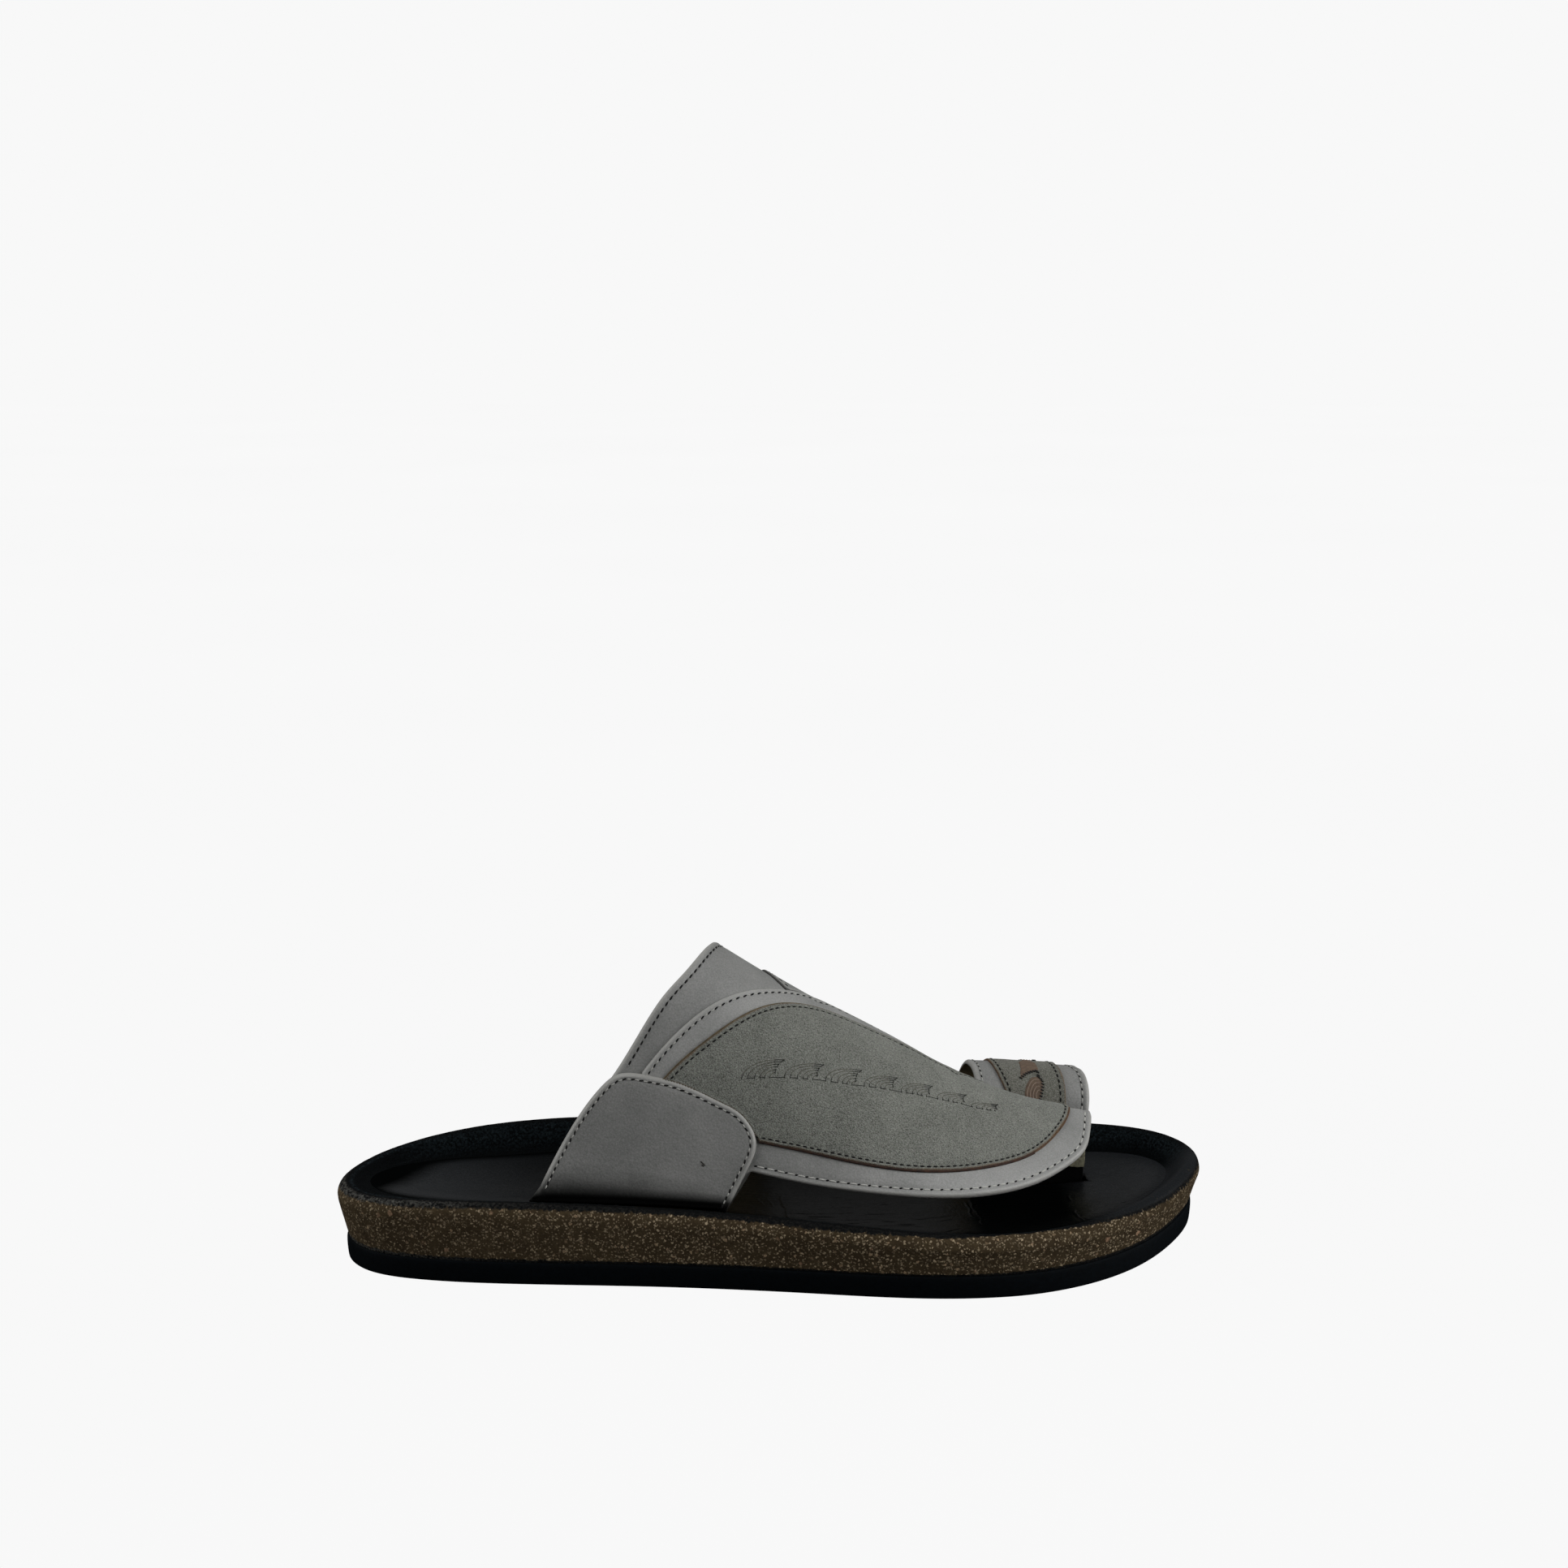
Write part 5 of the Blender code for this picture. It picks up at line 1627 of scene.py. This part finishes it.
def wave_lines(motif):
    """Nested arcs of one motif, its short links between neighbouring arcs, and the knots at their ends."""
    left, right, tip = np.array(motif, float).reshape(3, 2)
    base = right - left
    rise = tip - right - WAVE_LEAN * base
    feet = [right - base * share for share in WAVE_FEET]
    tips = [right + base * u + rise * v for u, v in WAVE_TIPS]
    turn = np.linspace(0, math.pi / 2, 14)[:, None]
    arcs = []
    for share, (u, v) in zip(WAVE_FEET, WAVE_TIPS):
        arcs.append(right + base * (u - (u + share) * np.cos(turn)) + rise * v * np.sin(turn))
    links = [np.linspace(feet[i], feet[i + 1], 5) for i in (1, 3)]
    links += [np.linspace(tips[i], tips[i + 1], 4) for i in (0, 2, 4)]
    links += [arc[:3] for arc in arcs] + [arc[-3:] for arc in arcs]
    knots = [np.linspace(p - base * 0.012, p + base * 0.012, 3) for p in feet + tips]
    return arcs, links, knots


def laid(name, lines, offset, radius, finish, spacing=0.3):
    """Thread piece along pattern lines, at a distance from the foot."""
    paths = [(surface(line, offset), lift(line)) for line in lines]
    sizes = {"Spacing": spacing * MM, "Radius": radius * MM, "Material": finish}
    return grown(name, THREAD_TREE, paths, sizes)


# Ornament on the strip of the toe loop: a fan that is repeated, and the wave over the crest of the loop.
FAN = (
    # along, girth
    (233.8, 64.8),
    (234.3, 66.6),
    (234.8, 68.2),
    (235.1, 69.9),
    (235.0, 71.0),
    (233.9, 72.3),
    (232.1, 72.4),
    (230.6, 71.4),
    (229.6, 69.9),
    (228.9, 68.3),
    (228.7, 66.4),
    (229.1, 64.9),
)
FAN_TOE_SIDE = 6
FAN_CENTRE = (234.2, 66.6)
FAN_SHIFTS = (-7.8, 0.0, 19.8, 27.4)
CREST_WAVE = (
    # along, girth
    (233.9, 78.3),
    (233.6, 82.0),
    (231.0, 84.0),
    (228.6, 82.4),
    (228.1, 78.6),
    (228.0, 74.5),
    (227.9, 71.7),
    (229.5, 73.0),
    (230.9, 73.8),
    (232.4, 74.4),
    (233.6, 74.6),
)
WAVE_FOOT = CREST_WAVE[6:] + ((233.9, 72.9),)
RIDGE_KNOT = np.array(((183.6, -5.3), (184.4, -5.1)))
SCUFFS = (
    # along and girth of the ends of two short nicks in the lateral tab
    np.array(((120.3, -65.3), (121.0, -65.6), (121.6, -65.9))),
    np.array(((120.6, -65.9), (121.2, -66.1))),
)
WEBBING_END = np.array([
    # along, girth
    (242.6, 19.0), (244.5, 19.0), (246.5, 19.0), (248.3, 19.0), (248.4, 20.2), (248.4, 21.4), (248.2, 22.4),
    (246.5, 22.5), (244.5, 22.4), (242.8, 22.3), (242.7, 21.2), (242.6, 20.1),
])


# Pieces


def part_of(run, test):
    """Points of a run that pass a test on along and girth."""
    keep = np.array([bool(test(s, g)) for s, g in run])
    return run[keep]


def build_upper():
    """Sheets of the upper, by the node that each one stands for."""
    leather = [LEATHER, LEATHER, LEATHER]
    nubuck = [NUBUCK, NUBUCK, RAW_EDGE]
    return {
        "upper": panel(
            "leather_upper", upper_outline(), (0.0, WALL), [LEATHER, LINING, LEATHER, POST_LINING_PAINTED_SHADE],
            sewn(2.4), 1.0
        ),
        "vamp_leaf": panel(
            "vamp_leaf_folded", leaf_outline(), (0.3, LEAF_TOP), [LEAF_LEATHER_PAINTED_LIGHTER] * 3, sewn(2.2), 1.1
        ),
        # The wing's edges carry a thin, near-black painted shade line.
        "medial_wing": panel(
            "medial_wing_folded", wing_outline(), (1.0, LEAF_TOP - 0.4), leather, sewn(1.9), 1.6,
            painted_edge_shade=0.9
        ),
        "nubuck_panel": panel(
            "nubuck_inset", nubuck_outline(), (2.3, NUBUCK_TOP), nubuck, sewn(1.3, 0.2, 0.0), 0.5, CUT
        ),
        "toe_loop_panel": panel(
            "toe_loop_strip", strip_outline(), (1.2, STRIP_TOP), [STRIP_NUBUCK, STRIP_NUBUCK, RAW_EDGE],
            sewn(1.5, 0.15, 0.0), 0.5, CUT
        ),
        "lateral_tab": panel("lateral_tab_folded", tab_outline(-1), (1.4, TAB_TOP), leather, sewn(1.8), 1.1),
        "medial_tab": panel("medial_tab_folded", tab_outline(1), (1.4, TAB_TOP), leather, sewn(1.8), 1.1),
    }


def build_stitches():
    """Rows of stitches, each beside the edge that it holds down."""
    collar = smooth_run([*COLLAR_EDGE, *mirrored(COLLAR_EDGE[-2::-1])])
    collar = part_of(collar, lambda s, g: -52.5 < g < 72)
    leaf_back = part_of(smooth_run(LEAF_BACK), lambda s, g: s < 200)
    leaf_lower = part_of(smooth_run(LEAF_LOWER), lambda s, g: s > 138)
    nubuck = smooth_run(NUBUCK_BACK)
    split = int(np.argmax(nubuck[:, 0]))
    wing = part_of(smooth_run(WING_BACK), lambda s, g: -4 < g < 66)
    medial_front = part_of(smooth_run(MEDIAL_FRONT), lambda s, g: g < 80)
    loop_back = loop_edge(LOOP_BACK, 46.0, 102.0)
    loop_front = loop_edge(LOOP_FRONT, 40.0, 102.0)
    strip_back = loop_edge(STRIP_BACK, 56.0, 103.0)
    strip_front = loop_edge(STRIP_FRONT, 56.0, 103.0)
    lateral_tab = part_of(tab_edge(-1), lambda s, g: g > -73)
    medial_tab = part_of(tab_edge(1), lambda s, g: g < 100)
    tab_rows = [
        sewing_path(lateral_tab, 1.8, TAB_TOP - 0.2, -1),
        sewing_path(medial_tab, 1.8, TAB_TOP - 0.2, 1),
        sewing_path(leaf_back, 1.9, LEAF_TOP - 0.2, -1),
        sewing_path(wing, 1.9, LEAF_TOP - 0.6, 1),
        sewing_path(medial_front, 1.9, LEAF_TOP - 0.6, -1),
    ]
    loop_rows = [
        sewing_path(loop_back, 2.2, WALL - 0.1, -1),
        sewing_path(loop_front, 2.5, WALL - 0.1, 1),
    ]
    leaf_rows = [sewing_path(leaf_lower, 2.4, LEAF_TOP - 0.2, -1)]
    collar_rows = [sewing_path(collar, 2.4, WALL - 0.2, -1)]
    nubuck_rows = [
        sewing_path(nubuck[:split], 1.5, NUBUCK_TOP - 0.2, -1),
        sewing_path(nubuck[split:], 1.1, NUBUCK_TOP - 0.2, -1),
        sewing_path(strip_back, 1.4, STRIP_TOP - 0.1, -1),
        sewing_path(strip_front, 1.8, STRIP_TOP - 0.1, 1),
    ]
    return [
        *stitched("tab_stitch", tab_rows, 2.65, THREAD, (1.5, 0.5), (1.75, 0.72), 14.0),
        *stitched("loop_stitch", loop_rows, 2.5, THREAD, (1.8, 0.5), (1.15, 0.5), 14.0),
        *stitched("leaf_stitch", leaf_rows, 3.25, LEAF_THREAD, (2.5, 0.52), (1.15, 0.64), 18.0),
        *stitched("collar_stitch", collar_rows, 2.4, COLLAR_THREAD, (1.0, 0.5), (1.9, 0.72), 6.0),
        *stitched("nubuck_stitch", nubuck_rows, 2.2, NUBUCK_THREAD, (0.9, 0.5), (1.65, 0.66), 0.0),
    ]


def build_embroidery():
    """Row of waves sewn into the nubuck."""
    arcs = []
    links = []
    knots = []
    for k, motif in enumerate(MOTIFS):
        for lines, more in zip((arcs, links, knots), wave_lines(motif)):
            lines += more
        if k + 1 < len(MOTIFS):
            links.append(np.linspace(motif[2:4], MOTIFS[k + 1][:2], 6))
    return [
        laid("wave_arcs", arcs, NUBUCK_TOP - 0.05, 0.12, WAVE_THREAD),
        laid("wave_links", links, NUBUCK_TOP, 0.12, DARK_THREAD),
        laid("wave_knots", knots, NUBUCK_TOP, 0.26, DARK_THREAD),
    ]


def build_fans():
    """Filled fans and the crest wave, with the arcs sewn in them and the knots along their toe side."""
    made = []
    arcs = []
    edges = [smooth_run(WAVE_FOOT, 0.95)]
    patches = [smooth_run([*CREST_WAVE, CREST_WAVE[0]], 0.5)[:-1]]
    for rise in FAN_SHIFTS:
        shift = np.array((0.0, rise))
        patches.append(smooth_run([*FAN, FAN[0]], 0.5)[:-1] + shift)
        curve = smooth_run(FAN[FAN_TOE_SIDE - 1:], 0.4)
        for share in (0.3, 0.48, 0.66, 0.84):
            arcs.append(FAN_CENTRE + shift + (curve - FAN_CENTRE) * share)
        edges.append(smooth_run(FAN[:FAN_TOE_SIDE], 0.9) + shift)
    for k, outline in enumerate(patches):
        made.append(panel(
            f"ornament_{k}", outline, (STRIP_TOP - 0.2, STRIP_TOP + 0.1), [ORNAMENT] * 3,
            sewn(5.0, 0.0, 0.0), 0.4
        ))
    knots = [np.linspace(p + (-0.55, 0.3), p + (0.4, -0.05), 4) for edge in edges for p in edge]
    made.append(laid("ornament_arcs", arcs, STRIP_TOP + 0.1, 0.15, ORNAMENT_THREAD))
    made.append(laid("ornament_knots", knots, STRIP_TOP + 0.1, 0.28, DARK_THREAD))
    return made


def build_edges():
    """Dyed bead along the nubuck's cut edge, thin at the back, heavier below where it is darkened as painted
    shadow, and the marks of wear.
    """
    run = smooth_run(NUBUCK_BACK)
    outside = run + inward(run, False) * 0.2
    split = int(np.argmax(run[:, 0]))
    back = outside[:split]
    front = outside[split:]
    rows = (
        ("nubuck_back_edge", [back[back[:, 0] < 200]], LEAF_TOP + 0.45, 0.26, BACK_EDGE),
        ("nubuck_front_edge", [front[front[:, 1] > -36]], LEAF_TOP + 0.4, 0.32, RAW_EDGE),
        # The lower bead is darkened as painted shadow under the nubuck's edge.
        ("nubuck_lower_edge", [front[front[:, 1] < -34]], LEAF_TOP + 0.35, 0.5, EDGE_RUST_AND_SHADE),
        ("ridge_knot", [RIDGE_KNOT], NUBUCK_TOP, 0.28, DARK_THREAD),
        ("tab_scuff", SCUFFS, TAB_TOP, 0.22, SCUFF),
    )
    return [laid(*row, spacing=0.4) for row in rows]


def build_webbing():
    """End of the khaki webbing that is folded inside the toe post."""
    return panel("toe_post_webbing", WEBBING_END, (-0.6, -0.1), [WEBBING] * 3, sewn(3.0, 0.0, 0.0), 0.3)


pieces = build_upper()
pieces["outsole"] = build_outsole()
pieces["midsole"] = build_midsole()
pieces["insole"] = build_insole()
for node, piece in pieces.items():
    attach(piece, "root")
    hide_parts(node)
for piece in build_stitches():
    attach(piece, "root")
for piece in build_embroidery() + build_fans() + build_edges() + [build_webbing()]:
    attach(piece, "root")


# Studio

CAMERA_PLACE = (102.134, -855.965, 315.126)
CAMERA_RIGHT = (0.99859122, -0.05306192, 0.0)
CAMERA_UP = (0.00977177, 0.18389853, 0.98289666)
LENS = 62.497
PALE = "#f8f8f8"
FLOOR_HALF = 6.0
LIGHT_AIM = (0.0, 0.0, 0.03)
LIGHTS = (
    # name, place and size in metres, watts, whether it shows in gloss, whether it lights matte faces
    ("toe_low_softbox", (1.173, -0.456, 0.326), (1.0, 1.0), 15.0, True, True),
    ("toe_front_softbox", (0.653, -0.653, 0.915), (1.0, 1.0), 4.6, True, True),
    ("heel_softbox", (-0.919, 0.0, 0.919), (1.0, 1.0), 6.9, True, True),
    ("heel_low_softbox", (-1.173, -0.456, 0.326), (1.0, 1.0), 5.3, True, True),
    ("back_softbox", (0.0, 0.919, 0.919), (1.0, 1.0), 6.1, False, True),
    ("sheen_panel", (0.0, 1.3, 0.45), (2.2, 0.7), 0.5, True, False),
)


def build_camera():
    """Camera that sees the part as the photograph does."""
    data = bpy.data.cameras.new("photo_camera")
    data.sensor_width = 36.0
    data.lens = LENS
    data.clip_end = 20.0
    camera = bpy.data.objects.new("photo_camera", data)
    right = Vector(CAMERA_RIGHT)
    up = Vector(CAMERA_UP)
    turn = Matrix((right, up, right.cross(up))).transposed()
    camera.matrix_world = Matrix.Translation(placed(CAMERA_PLACE)) @ turn.to_4x4()
    bpy.context.scene.collection.objects.link(camera)
    bpy.context.scene.camera = camera


def build_light(name, place, size, watts, glossy, diffuse):
    """Soft rectangular light, turned to the part."""
    data = bpy.data.lights.new(name, "AREA")
    data.shape = "RECTANGLE"
    data.size, data.size_y = size
    data.energy = watts
    light = bpy.data.objects.new(name, data)
    light.location = place
    light.rotation_euler = (Vector(LIGHT_AIM) - Vector(place)).to_track_quat("-Z", "Y").to_euler()
    light.visible_glossy = glossy
    light.visible_diffuse = diffuse
    bpy.context.scene.collection.objects.link(light)


def build_studio():
    """Pale floor that runs into a pale surround, softboxes around the part and a sheen panel behind it."""
    mesh = bpy.data.meshes.new("floor")
    corners = [(x * FLOOR_HALF, y * FLOOR_HALF, 0) for x, y in ((-1, -1), (1, -1), (1, 1), (-1, 1))]
    mesh.from_pydata(corners, [], [(0, 1, 2, 3)])
    floor = bpy.data.objects.new("floor", mesh)
    material, tree, shader, place = new_finish("pale_floor")
    cloud = add(tree, "ShaderNodeTexNoise", {"Vector": place, "Scale": 2.0, "Detail": 2.0})
    fill_sockets(tree, shader, {
        "Emission Color": mixed(tree, cloud.outputs["Fac"], "#f7f7f7", "#f9f9f9"),
        "Emission Strength": 1.0,
        "Base Color": (0.0, 0.0, 0.0, 1.0),
        "Roughness": 1.0,
        "Specular IOR Level": 0.0,
    })
    mesh.materials.append(material)
    bpy.context.scene.collection.objects.link(floor)
    floor.visible_diffuse = False
    floor.visible_glossy = False
    world = bpy.data.worlds.new("studio")
    world.use_nodes = True
    tree = world.node_tree
    dim = tree.nodes["Background"]
    fill_sockets(tree, dim, {"Color": hex_colour(PALE), "Strength": 0.01})
    pale = add(tree, "ShaderNodeBackground", {"Color": hex_colour(PALE), "Strength": 1.0})
    path = add(tree, "ShaderNodeLightPath")
    both = add(tree, "ShaderNodeMixShader", {
        0: path.outputs["Is Camera Ray"], 1: dim.outputs["Background"], 2: pale.outputs["Background"],
    })
    fill_sockets(tree, tree.nodes["World Output"], {"Surface": both.outputs["Shader"]})
    bpy.context.scene.world = world
    for light in LIGHTS:
        build_light(*light)
    bpy.context.scene.view_settings.view_transform = "Standard"


build_camera()
build_studio()
